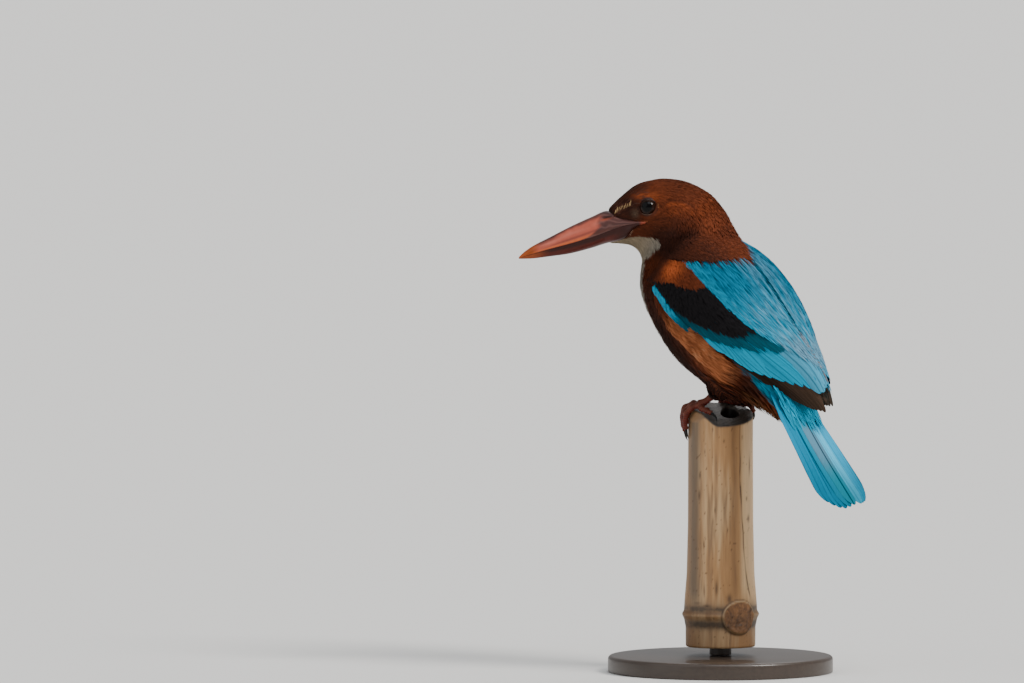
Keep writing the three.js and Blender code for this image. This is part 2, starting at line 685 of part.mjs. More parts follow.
for (const side of [-1, 1]) head = head.add(lidRing(side));
for (const side of [-1, 1]) head = head.subtract(ball(eye.radius + gap, eyeAt(side)));
head = head.subtract(union([bill.upper, bill.lower]));
add("head", largest(head), "chestnut");
add("neck", neck, "chestnut");
add("bill_upper", largest(bill.upper.subtract(nostrils())), "bill");
add("bill_lower", bill.lower, "bill");
add("eye_left", ball(eye.radius, eyeAt(-1)), "eye");
add("eye_right", ball(eye.radius, eyeAt(1)), "eye");

const thighs = { left: thighSolid("left"), right: thighSolid("right") };
add("torso", largest(torso), "chestnut");
for (const [name, side] of [["left", -1], ["right", 1]]) {
  const foot = footSolid(name);
  add(`wing_${name}`, largest(wingSolid(side, 5 + side).subtract(bodyRoom)), "blue");
  add(`thigh_${name}`, largest(thighs[name].subtract(torso).subtract(foot)), "chestnut");
  add(`foot_${name}`, foot, "leg");
  for (const toe of Object.keys(toeLines(name))) add(`claw_${name}_${toe}`, clawSolid(name, toe), "claw");
}
add("tail", largest(tailSolid()), "blue");
add("perch_stem", stemSolid(), "bamboo");
add("stand_rod", rodSolid(), "stand");
add("stand_base", baseSolid(), "stand");

export default bird;
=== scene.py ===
# A white-throated kingfisher, life size, on a cut bamboo stem and a plain display stand.
# Sizes are in millimetres in the working functions and become metres when a mesh is made.
# The bird's body faces -X, its left is -Y, and its head is turned to its left.
import math

import bmesh
import bpy
import numpy as np
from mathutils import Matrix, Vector
from mathutils.kdtree import KDTree


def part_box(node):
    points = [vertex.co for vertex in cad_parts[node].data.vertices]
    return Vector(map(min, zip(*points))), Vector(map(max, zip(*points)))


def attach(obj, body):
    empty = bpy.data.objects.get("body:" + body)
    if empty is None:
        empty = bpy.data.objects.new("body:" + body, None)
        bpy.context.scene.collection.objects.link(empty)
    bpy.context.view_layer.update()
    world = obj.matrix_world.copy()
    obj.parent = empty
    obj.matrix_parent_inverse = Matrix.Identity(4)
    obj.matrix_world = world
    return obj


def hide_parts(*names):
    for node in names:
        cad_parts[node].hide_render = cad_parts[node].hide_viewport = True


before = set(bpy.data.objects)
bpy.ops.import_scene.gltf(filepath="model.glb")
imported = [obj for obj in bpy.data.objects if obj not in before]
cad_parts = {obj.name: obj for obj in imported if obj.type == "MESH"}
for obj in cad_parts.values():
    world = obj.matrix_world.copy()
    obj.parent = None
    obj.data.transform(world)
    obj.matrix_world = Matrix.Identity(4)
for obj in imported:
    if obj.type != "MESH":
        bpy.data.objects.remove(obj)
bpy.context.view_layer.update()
mm = 0.001
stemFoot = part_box("perch_stem")[0].z / mm  # height of the stem's lower cut
rim = stemFoot + 128  # height of the stem's upper cut at its axis
print("frame loaded, rim at", round(rim, 2), "mm")


# ---- helpers
def smoothTable(rows):
    # a smooth line through rows of (at, value, value, ...)
    rows = np.array(rows, float)
    at, values = rows[:, 0], rows[:, 1:]
    spread = np.r_[rows[1:], rows[-1:]] - np.r_[rows[:1], rows[:-1]]
    slopes = spread[:, 1:] / spread[:, :1]

    def read(x):
        x = np.clip(np.asarray(x, float), at[0], at[-1])
        i = np.clip(np.searchsorted(at, x, side="right") - 1, 0, len(at) - 2)
        span = (at[i + 1] - at[i])[..., None]
        f = (x - at[i])[..., None] / span
        near = (2 * f**3 - 3 * f**2 + 1) * values[i] + (f**3 - 2 * f**2 + f) * span * slopes[i]
        return near + (3 * f**2 - 2 * f**3) * values[i + 1] + (f**3 - f**2) * span * slopes[i + 1]

    return read


def straightTable(rows):
    # straight lines through rows of (at, value)
    rows = np.array(rows, float)
    return lambda x: np.interp(x, rows[:, 0], rows[:, 1])


def ease(x, low, high):
    f = np.clip((np.asarray(x, float) - low) / (high - low), 0, 1)
    return f * f * (3 - 2 * f)


def mix(a, b, share):
    share = np.asarray(share, float)[..., None]
    return np.asarray(a) * (1 - share) + np.asarray(b) * share


def unit(vectors):
    return vectors / np.maximum(np.linalg.norm(vectors, axis=-1, keepdims=True), 1e-9)


def between(x, low, high, last, end):
    # rises from low to high and falls again from last to end
    return ease(x, low, high) * (1 - ease(x, last, end))


def stack(*parts):
    return np.stack(np.broadcast_arrays(*parts), -1)


def hill(x, wide, y=0, high=1):
    # 1 at the middle, falling off with the distance from it
    return np.exp(-((x / wide) ** 2) - (y / high) ** 2)


def painted(colour, colours, *coats):
    # coats of (a name or a colour, its share), one over the other
    for coat, share in coats:
        colour = mix(colour, colours[coat] if isinstance(coat, str) else coat, share)
    return colour


def colourSet(colours):
    return {name: np.array(colour) for name, colour in colours.items()}


def heading(x, y, angle):
    # how far a place lies in a direction, and how far to the left of it
    return x * math.cos(angle) + y * math.sin(angle), y * math.cos(angle) - x * math.sin(angle)


def ripple(points, size, seed=0):
    # a soft irregular wave over points in mm, from about -1 to 1
    p = np.asarray(points) / size
    x, y, z = p[..., 0] + seed * 1.7, p[..., 1] - seed * 2.3, p[..., 2] + seed
    wave = np.sin(2.1 * x + 1.3 * np.sin(1.7 * y + seed)) + np.sin(2.7 * y + 1.1 * np.sin(1.9 * z))
    return (wave + np.sin(2.3 * z + 1.7 * np.sin(1.3 * x + 2))) / 3


def keep(mesh, name, material, slotName, *replaced):
    # links a finished mesh, on the frame's one body
    piece = bpy.data.objects.new(name, mesh)
    bpy.context.scene.collection.objects.link(piece)
    mesh.materials.clear()
    mesh.materials.append(material)
    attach(piece, "root")
    if replaced:
        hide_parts(*replaced)
    faces = sum(len(p.vertices) - 2 for p in mesh.polygons)
    print(f"{name}: {faces} triangles")


def wrap(name, across, along, place, tint=(1, 1, 1)):
    # a grid laid over place(u, v), its seam merged and its ends closed; tint is a colour or tint(u, v, points)
    form = bmesh.new()
    bmesh.ops.create_grid(form, x_segments=across, y_segments=along, size=0.5)
    u, v = np.array([vert.co[:2] for vert in form.verts]).T + 0.5
    points = place(u, v)
    layer = form.verts.layers.float_color.new("tint")
    colours = tint(u, v, points) if callable(tint) else tint
    for vert, point, colour in zip(form.verts, points * mm, np.broadcast_to(colours, points.shape)):
        vert.co = point
        vert[layer] = (*colour, 1)
    bmesh.ops.remove_doubles(form, verts=form.verts, dist=1e-7)
    bmesh.ops.holes_fill(form, edges=[e for e in form.edges if e.is_boundary])
    bmesh.ops.recalc_face_normals(form, faces=form.faces)
    mesh = bpy.data.meshes.new(name)
    form.to_mesh(mesh)
    form.free()
    mesh.shade_smooth()
    return mesh


def joinMeshes(name, meshes):
    form = bmesh.new()
    for mesh in meshes:
        form.from_mesh(mesh)
        bpy.data.meshes.remove(mesh)
    joined = bpy.data.meshes.new(name)
    form.to_mesh(joined)
    form.free()
    joined.shade_smooth()
    return joined



def addTint(mesh, colours):
    layer = mesh.color_attributes.new("tint", "FLOAT_COLOR", "POINT")
    layer.data.foreach_set("color", np.c_[colours, np.ones(len(colours))].astype(np.float32).ravel())


def gridOver(a, b):
    # places all over a surface, from (start, end, count) each way
    return (values.ravel() for values in np.meshgrid(np.linspace(*a), np.linspace(*b)))


def treeOf(points):
    tree = KDTree(len(points))
    for i, point in enumerate(points):
        tree.insert(point, i)
    tree.balance()
    return tree


# ---- the surfaces that skin and feathers lie on
bodySizes = {
    "headTurn": math.radians(40),
    "neckPivot": -22,  # x of the upright line the head turns about
    "squareness": 0.92,
    # station: x and height over the rim of the back line and the belly line, half width, share of the head's turn
    "stations": [
        (0, -67.7, 111.7, -66.6, 93.5, 7.4, 1),
        (1, -60.5, 118.8, -60.5, 93.3, 9.9, 1),
        (2, -51.7, 125.7, -54.5, 92.3, 12.7, 1),
        (3, -42.9, 128.4, -50.4, 89.3, 14.9, 1),
        (4, -34.1, 129.2, -48.4, 84.8, 16.8, 1),
        (5, -22, 126.8, -48.8, 80, 18.8, 0.97),
        (6, -12, 119.5, -49.3, 75, 20.8, 0.86),
        (7, -4.5, 110.5, -49.3, 69.2, 22.8, 0.66),
        (8, 0.8, 101.5, -47.8, 62.3, 25, 0.42),
        (9, 5.6, 94.2, -43.8, 53.4, 27, 0.2),
        (10, 11.8, 87.8, -35.6, 41.5, 28.6, 0.06),
        (11, 19.6, 80.4, -27.7, 32.5, 29.6, 0),
        (12, 26.8, 73.3, -19.6, 25.5, 30, 0),
        (13, 34.6, 66, -10.8, 19.9, 29.6, 0),
        (14, 40, 57.6, -2.2, 15, 28.2, 0),
        (15, 45.4, 48.6, 8, 11.6, 25.6, 0),
        (16, 52, 35, 24, 8.2, 20.6, 0),
        (17, 57.5, 22, 38.5, 0.2, 15, 0),
        (18, 61.5, 9.2, 49.3, -5.3, 11.4, 0),
        (19, 65, -3.4, 59, -11, 8.6, 0),
    ],
}
bodyTable = smoothTable(bodySizes["stations"])
lastStation = bodySizes["stations"][-1][0]


def turned(x, y, z, share=1.0):
    # from the bird facing straight ahead to its turned head
    angle = bodySizes["headTurn"] * share
    x = x - bodySizes["neckPivot"]
    turnedX = bodySizes["neckPivot"] + x * np.cos(angle) - y * np.sin(angle)
    return stack(turnedX, x * np.sin(angle) + y * np.cos(angle), rim + z)


def straightBody(station, angle):
    # x, y and height over the rim with the head straight ahead, and the share of the turn
    topX, topZ, lowX, lowZ, half, share = np.moveaxis(bodyTable(station), -1, 0)
    up = 0.5 + 0.5 * np.cos(angle)
    side = np.sign(np.sin(angle)) * np.abs(np.sin(angle)) ** bodySizes["squareness"]
    return lowX + (topX - lowX) * up, half * side, lowZ + (topZ - lowZ) * up, share


def onBody(station, angle):
    return turned(*straightBody(station, angle))


wingSizes = {
    "start": (-16.3, 72.1),  # x and height over the rim of the body's axis at the shoulders
    "pitch": math.radians(43.1),
    "squareness": 2.9,
    # along the body's axis: out to the ridge, out to the lower edge, half width
    "table": [
        (-18, 25.5, -10, 20),
        (-12, 29.2, -9.4, 25),
        (5, 33.8, -6.5, 33),
        (20, 35.6, -5, 37),
        (40, 34.4, -2, 36.4),
        (60, 31.6, 1.5, 29.6),
        (76, 29.2, 3, 20.8),
        (90, 27.4, 4.6, 13.4),
        (100, 24.8, 5.6, 9.4),
        (110, 20.6, 6.6, 6.4),
        (122, 15, 7, 3.6),
    ],
}
wingTable = smoothTable(wingSizes["table"])


def slanted(sizes, along, out, side):
    # a place by millimetres along, out of and beside an axis that falls backwards
    c, s = math.cos(sizes["pitch"]), math.sin(sizes["pitch"])
    x, z = sizes["start"]
    return stack(x + along * c + out * s, side, rim + z - along * s + out * c)


def onWing(along, degrees):
    # the right wing's surface; the left one is its mirror image
    ridge, low, wide = np.moveaxis(wingTable(along), -1, 0)
    c, s = np.cos(np.radians(degrees)), np.sin(np.radians(degrees))
    power = wingSizes["squareness"]
    swell = (np.abs(c) ** power + np.abs(s) ** power) ** (-1 / power)
    return slanted(wingSizes, along, low + (ridge - low) * c * swell, wide * s * swell)


tailSizes = {
    "start": (46, 18.8),  # x and height over the rim of the tail's root
    "pitch": math.radians(52.4),
    "width": 11.4,
    "step": 0.6,  # how much each feather lies under its inner neighbour
    "rootHalf": {-1: 12, 1: 9},
    # by side, each pair from the middle outwards: how far the tips reach along and to the side, and colours
    "ends": {-1: (81.6, 82.8, 83, 82, 80, 77.4), 1: (81.4, 80.6, 79.4, 77.8, 75.8, 73.6)},
    "tipSides": {-1: (3.6, 7.2, 10.8, 14, 17, 19.6), 1: (3.4, 6.2, 8.8, 11, 13, 14.6)},
    "tints": {-1: [(0.12, 0.30, 0.43), (0.02, 0.28, 0.45), (0, 0.26, 0.45)],
              1: [(0.07, 0.46, 0.70), (0.02, 0.34, 0.56), (0.015, 0.31, 0.52)]},
}


def overTail(rise, arch, half):
    # a sheet over or under the tail's root, arched across
    return lambda along, side: slanted(tailSizes, along, rise(along) - arch * (side / half) ** 2, side)


def surfaceFrame(surface, a, b, small):
    # millimetres for each unit of a and of b, and the outward direction
    stepA, stepB = small
    alongA = (surface(a + stepA, b) - surface(a - stepA, b)) / (2 * stepA)
    alongB = (surface(a, b + stepB) - surface(a, b - stepB)) / (2 * stepB)
    return np.linalg.norm(alongA, axis=-1), np.linalg.norm(alongB, axis=-1), unit(np.cross(alongA, alongB))


def bodySpot(roots):
    return stack(roots[:, 1] / (2 * np.pi) + 0.5, roots[:, 0] / 20 + 0.02)


def wingSpot(roots):
    return stack(roots[:, 0] / 140 + 1.2, roots[:, 1] / 200 + 0.02)


# what feathers lie on: a surface, the steps that its slopes are read with, each root's spot in the baking map
bodyGround = {"surface": onBody, "steps": (0.02, 0.02), "spot": bodySpot}
wingGround = {"surface": onWing, "steps": (0.3, 0.4), "spot": wingSpot}


def nearestOn(ground, aLimits, bLimits, sides=(1,)):
    # a finder of each point's nearest place on a ground: the place, the way out there and how far out the point is
    a, b = gridOver((*aLimits, 110), (*bLimits, 150))
    outward = surfaceFrame(ground["surface"], a, b, ground["steps"])[2]
    spots = np.concatenate([ground["surface"](a, b) * (1, side, 1) for side in sides])
    outward = np.concatenate([outward * (1, side, 1) for side in sides])
    a, b = np.tile(a, len(sides)), np.tile(b, len(sides))
    tree = treeOf(spots)

    def find(points):
        index = [tree.find(point)[1] for point in points]
        return a[index], b[index], outward[index], ((points - spots[index]) * outward[index]).sum(-1)

    return find


def tipsFrom(ground, roots, length, turn):
    # tips a length away from their roots, turned by an angle from straight back
    perA, perB = surfaceFrame(ground["surface"], *roots.T, ground["steps"])[:2]
    return roots + np.c_[length * np.cos(turn) / perA, length * np.sin(turn) / perB]


# ---- feathers
def featherForm(columns, rows, outline, tip, thick, shaft):
    # one closed vane: x across from -1 to 1, y along from 0 to 1, z its thickness in mm
    form = bmesh.new()
    bmesh.ops.create_grid(form, x_segments=columns, y_segments=rows, size=1)
    copied = bmesh.ops.duplicate(form, geom=form.verts[:] + form.edges[:] + form.faces[:])["geom"]
    under = {item for item in copied if isinstance(item, bmesh.types.BMVert)}
    bmesh.ops.reverse_faces(form, faces=[item for item in copied if isinstance(item, bmesh.types.BMFace)])
    width = straightTable(outline)
    for vert in form.verts:
        across, along = vert.co.x, (vert.co.y + 1) / 2
        inner = (1 - across**2) * (1 - (2 * along - 1) ** 6)
        ridge = shaft * max(0, 1 - abs(across) * 3) * (1 - along)
        height = -thick * inner if vert in under else thick * inner + ridge * (inner > 0)
        reach = 1 - tip(across) * along**3
        vert.co = (across * float(width(along)), along * reach, height)
    bmesh.ops.remove_doubles(form, verts=form.verts, dist=1e-6)
    form.verts.index_update()
    points = np.array([v.co[:] for v in form.verts])
    faces = np.array([[v.index for v in reversed(f.verts)] for f in form.faces if len(f.verts) == 4])
    form.free()
    return points, faces


def splitTip(across, lobes, deep, rounded=0.2):
    # how much shorter the vane is at a place across it: ragged barbs at a rounded end
    return rounded * across**2 + deep * (0.5 + 0.5 * math.cos(math.pi * lobes * across))


bodyOutline = [(0, 0.3), (0.25, 0.8), (0.6, 1), (0.85, 0.85), (1, 0.6)]
flightOutline = [(0, 0.45), (0.3, 0.9), (0.75, 1), (0.92, 0.8), (1, 0.42)]
strandOutline = [(0, 0.5), (0.4, 1), (0.75, 0.8), (1, 0.22)]
forms = {
    "hair": featherForm(2, 2, strandOutline, lambda x: 0.1 * x * x, 0.06, 0),
    "strand": featherForm(2, 4, strandOutline, lambda x: 0.12 * x * x, 0.08, 0),
    "covert": featherForm(8, 6, bodyOutline, lambda x: splitTip(x, 4, 0.05), 0.14, 0.12),
    "rectrix": featherForm(12, 20, [(0, 0.45), (0.3, 0.9), (0.75, 1), (0.93, 0.98), (0.97, 0.88), (1, 0.72)],
                           lambda x: 0.05 * x * x, 0.2, 0.3),
    "flight": featherForm(10, 12, flightOutline, lambda x: 0.03 * x * x, 0.2, 0.3),
}
rounding = 0.35  # how far a vane's shading turns round across it and at its tip
spotHalf = 0.0015  # half a feather's patch in the baking map


def layFeathers(ground, form, roots, tips, width, lift, tint, seed, camber=0.1, shade=None, rootShade=0.62,
                paleUnder=1.0, toward=None):
    # vanes from roots to tips, both (n, 2) places on the ground; lift (n, 2) is how far root and tip stand out
    surface, steps = ground["surface"], ground["steps"]
    points, faces = forms[form]
    across, along, thick = points.T
    count, width = len(roots), np.asarray(width)[:, None]
    bend = np.random.default_rng(seed).normal(0, 0.03, count)[:, None] * np.sin(np.pi * along)
    a, b = (roots[:, k : k + 1] + (tips - roots)[:, k : k + 1] * along for k in (0, 1))
    perA, perB, outward = surfaceFrame(surface, a, b, steps)
    goA, goB = (tips - roots)[:, :1] * perA, (tips - roots)[:, 1:] * perB
    length = np.maximum(np.hypot(goA, goB), 1e-6)
    aside = width / 2 * across + bend * length
    a, b = a - aside * goB / length / perA, b + aside * goA / length / perB
    outward = surfaceFrame(surface, a, b, steps)[2]
    rise = lift[:, :1] + (lift[:, 1:] - lift[:, :1]) * (1 - (1 - along) ** 1.6)
    rise = rise + thick - camber * width * across**2
    places = surface(a, b) + outward * rise[..., None]
    # the light falls on a vane much as on the surface under it
    back = unit(surface(*tips.T) - surface(*roots.T))[:, None, :]
    beside = np.cross(outward, np.broadcast_to(back, outward.shape))
    if toward is not None:  # (directions, shares): lit partly like a neighbouring surface
        outward = mix(outward, toward[0][:, None, :], toward[1][:, None])
    facing = unit(outward + rounding * (across[:, None] * beside + (along**3)[:, None] * back))
    # painted shade: each vane darker towards its root, under the vanes that lie over it
    colour = tint[:, None, :] * (rootShade + (1 - rootShade) * along**0.7)[None, :, None]
    if shade is not None:
        colour = colour * shade(across, along)[None]
    colour = colour * np.where(thick < 0, paleUnder, 1)[None, :, None]
    spot = ground["spot"](roots)[:, None, :] + spotHalf * stack(across, 2 * along - 1)
    offset = (np.arange(count) * len(across))[:, None, None]
    return {
        "points": places.reshape(-1, 3),
        "facing": facing.reshape(-1, 3),
        "faces": (faces[None] + offset).reshape(-1, 4),
        "under": np.tile(np.where(thick[faces].mean(-1) < 0, -1, 1), count),
        "tint": colour.reshape(-1, 3),
        "vane": stack(aside, along * length).reshape(-1, 2),
        "spot": spot.reshape(-1, 2),
    }


def mirrored(block):
    # the same feathers on the bird's other side
    flipped = {key: block[key] * (1, -1, 1) for key in ("points", "facing")}
    return {**block, **flipped, "faces": block["faces"][:, ::-1]}


def featherMesh(name, blocks):
    # many vanes as one mesh with its colours, the barbs' map and the baking map
    def whole(key):
        return np.concatenate([block[key] for block in blocks])

    starts = np.cumsum([0] + [len(block["points"]) for block in blocks])
    faces = np.concatenate([block["faces"] + start for block, start in zip(blocks, starts)])
    mesh = bpy.data.meshes.new(name)
    mesh.vertices.add(int(starts[-1]))
    mesh.vertices.foreach_set("co", (whole("points") * mm).astype(np.float32).ravel())
    mesh.loops.add(faces.size)
    mesh.loops.foreach_set("vertex_index", faces.astype(np.int32).ravel())
    mesh.polygons.add(len(faces))
    mesh.polygons.foreach_set("loop_start", np.arange(0, faces.size, 4, dtype=np.int32))
    mesh.update(calc_edges=True)
    addTint(mesh, np.clip(whole("tint"), 0, 1))
    for mapName, key in (("OFBake", "spot"), ("vane", "vane")):
        values = whole(key)[faces.ravel()].astype(np.float32)
        mesh.uv_layers.new(name=mapName).data.foreach_set("uv", values.ravel())
    mesh.shade_smooth()
    facing = whole("facing")[faces.ravel()] * np.repeat(whole("under"), 4)[:, None]
    mesh.normals_split_custom_set(facing.astype(np.float32))
    return mesh


# ---- materials
def fill(node, inputs):
    # each input takes another node's output or a constant
    for key, value in inputs.items():
        if isinstance(value, bpy.types.NodeSocket):
            node.id_data.links.new(value, node.inputs[key])
        else:
            node.inputs[key].default_value = value


def nodeTools(tree):
    def add(kind, inputs, **values):
        made = tree.nodes.new(kind)
        for key, value in values.items():
            setattr(made, key, value)
        fill(made, inputs)
        return made.outputs

    def maths(operation, *numbers, clamp=False):
        return add("ShaderNodeMath", dict(enumerate(numbers)), operation=operation, use_clamp=clamp)[0]

    return add, maths


def barbGroup():
    # fine barbs slanting off a feather's shaft, read from the map with millimetres across and along
    group = bpy.data.node_groups.new("barbs", "ShaderNodeTree")
    group.interface.new_socket("Colour", in_out="INPUT", socket_type="NodeSocketColor")
    for label, value in (("Fineness", 4.0), ("Contrast", 0.3), ("Shaft", 0.0)):
        group.interface.new_socket(label, in_out="INPUT", socket_type="NodeSocketFloat").default_value = value
    for label, kind in (("Colour", "NodeSocketColor"), ("Height", "NodeSocketFloat")):
        group.interface.new_socket(label, in_out="OUTPUT", socket_type=kind)
    add, maths = nodeTools(group)
    given = add("NodeGroupInput", {})
    across, along = add("ShaderNodeSeparateXYZ", {0: add("ShaderNodeUVMap", {}, uv_map="vane")[0]})[:2]
    away = maths("ABSOLUTE", across)
    slant = maths("SUBTRACT", maths("MULTIPLY", along, 0.55), away)
    slant = maths("MULTIPLY", slant, given["Fineness"])
    where = add("ShaderNodeCombineXYZ", {0: slant, 1: maths("MULTIPLY", across, 0.35)})[0]
    lines = add("ShaderNodeTexNoise", {"Vector": where, "Scale": 1, "Detail": 2, "Roughness": 0.6})[0]
    shaft = maths("SUBTRACT", 1, maths("MULTIPLY", away, 4.5), clamp=True)
    shaft = maths("MULTIPLY", shaft, given["Shaft"])
    swing = maths("MULTIPLY", maths("SUBTRACT", lines, 0.5), 2)
    light = maths("ADD", 1, maths("MULTIPLY", swing, given["Contrast"]))
    light = maths("MULTIPLY", light, maths("SUBTRACT", 1, shaft))
    colour = add("ShaderNodeVectorMath", {0: given["Colour"], "Scale": light}, operation="SCALE")[0]
    add("NodeGroupOutput", {"Colour": colour, "Height": maths("ADD", lines, shaft)})
    return group


barbs = barbGroup()


def newMaterial(name, roughness, specular, coat=0.0):
    made = bpy.data.materials.new(name)
    made.use_nodes = True
    shader = made.node_tree.nodes["Principled BSDF"]
    fill(shader, {"Roughness": roughness, "Specular IOR Level": specular, "Coat Weight": coat, "Coat Roughness": 0.04})
    return made, shader


def coverShader(add, shader, colour, height, bump):
    relief = add("ShaderNodeBump", {"Strength": bump, "Distance": 0.0001, "Height": height})
    fill(shader, {"Base Color": colour, "Normal": relief[0]})


def featherMaterial(name, fineness, contrast, shaft, roughness, specular, bump):
    made, shader = newMaterial(name, roughness, specular)
    add = nodeTools(made.node_tree)[0]
    tint = add("ShaderNodeVertexColor", {}, layer_name="tint")["Color"]
    settings = {"Colour": tint, "Fineness": fineness, "Contrast": contrast, "Shaft": shaft}
    group = add("ShaderNodeGroup", settings, node_tree=barbs)
    coverShader(add, shader, group["Colour"], group["Height"], bump)
    return made


def mottledMaterial(name, roughness, specular, scale, contrast, bump, stretch=(1, 1, 1), coat=0.0):
    # the piece's own tint, broken up by a fine irregular grain in the piece's coordinates
    made, shader = newMaterial(name, roughness, specular, coat)
    add, maths = nodeTools(made.node_tree)
    place = add("ShaderNodeTexCoord", {})["Object"]
    where = add("ShaderNodeMapping", {"Scale": [scale * s for s in stretch], "Vector": place})[0]
    grain = add("ShaderNodeTexNoise", {"Vector": where, "Scale": 1, "Detail": 5})[0]
    light = maths("ADD", 1, maths("MULTIPLY", maths("SUBTRACT", grain, 0.5), 2 * contrast))
    tint = add("ShaderNodeVertexColor", {}, layer_name="tint")["Color"]
    colour = add("ShaderNodeVectorMath", {0: tint, "Scale": light}, operation="SCALE")[0]
    coverShader(add, shader, colour, grain, bump)
    return made


softFeathers = featherMaterial("softFeathers", 5, 0.3, 0, 0.75, 0.12, 0.25)
blueFeathers = featherMaterial("blueFeathers", 3.2, 0.24, 0.3, 0.65, 0.03, 0.3)
skinFinish = mottledMaterial("skinFinish", 0.8, 0.2, 900, 0.3, 0.4)
hornFinish = mottledMaterial("hornFinish", 0.38, 0.22, 420, 0.16, 0.35, coat=0.04)
scaleFinish = mottledMaterial("scaleFinish", 0.5, 0.2, 1500, 0.25, 0.4)
clawFinish = mottledMaterial("clawFinish", 0.32, 0.22, 900, 0.2, 0.2)
eyeFinish = mottledMaterial("eyeFinish", 0.07, 0.15, 1200, 0.2, 0)
stemFinish = mottledMaterial("stemFinish", 0.52, 0.4, 1100, 0.2, 0.5, stretch=(1, 1, 0.07))
standFinish = mottledMaterial("standFinish", 0.4, 0.5, 500, 0.35, 0.3, stretch=(0.12, 1, 1), coat=0.2)
print("materials made")


# ---- colours of the plumage
palette = colourSet({
    "chestnut": (0.108, 0.0232, 0.007),
    "russet": (0.240, 0.051, 0.0145),
    "umber": (0.026, 0.007, 0.0035),
    "orange": (0.300, 0.110, 0.036), "flank": (0.420, 0.135, 0.050), "peach": (0.500, 0.230, 0.110),
    # cream and white stand darker than the throat's real white: painted shade
    "cream": (0.265, 0.208, 0.136),
    "white": (0.288, 0.258, 0.218),
    "buff": (0.420, 0.270, 0.130),
    "greyBrown": (0.090, 0.058, 0.038),
    "black": (0.006, 0.005, 0.006),
    "teal": (0.001, 0.070, 0.105),
    "cyan": (0.000, 0.300, 0.480),
    "sky": (0.000, 0.105, 0.195),
    "sheen": (0.150, 0.320, 0.450),
    "slate": (0.004, 0.110, 0.200),
    "brown": (0.020, 0.012, 0.008),
    "pinkish": (0.300, 0.190, 0.160),
})

# edges of the bare bill on the side of the head, by x with the head straight ahead
billEdges = {
    "upper": straightTable([(-68, 112.4), (-66, 111.6), (-63.8, 108.9), (-56.7, 107), (-46.5, 105.9)]),
    "lower": straightTable([(-68, 93.5), (-66.6, 93.5), (-56.1, 97.4), (-54.6, 100.9), (-46.3, 105.7)]),
    "gape": -46.4,
}
throatPatch = {
    "top": straightTable([(-66.6, 93.8), (-60.5, 95.6), (-49.5, 97.8), (-39.1, 95.6), (-36, 92)]),
    "rear": straightTable([(78, -49), (84.7, -46.6), (89.1, -40.7), (92.4, -38), (97, -37)]),
    # half of the white's width down the breast, in degrees from the belly line, by station
    "bib": straightTable([(4, 40), (5, 29), (7, 31), (9, 34), (9.8, 33), (10.6, 27), (11.6, 15), (12.2, -5)]),
}
eyeSizes = {"x": -44.8, "height": 113.6, "side": 11.2, "radius": 5.2, "opening": (5.02, 4.3), "pupil": 2.9}


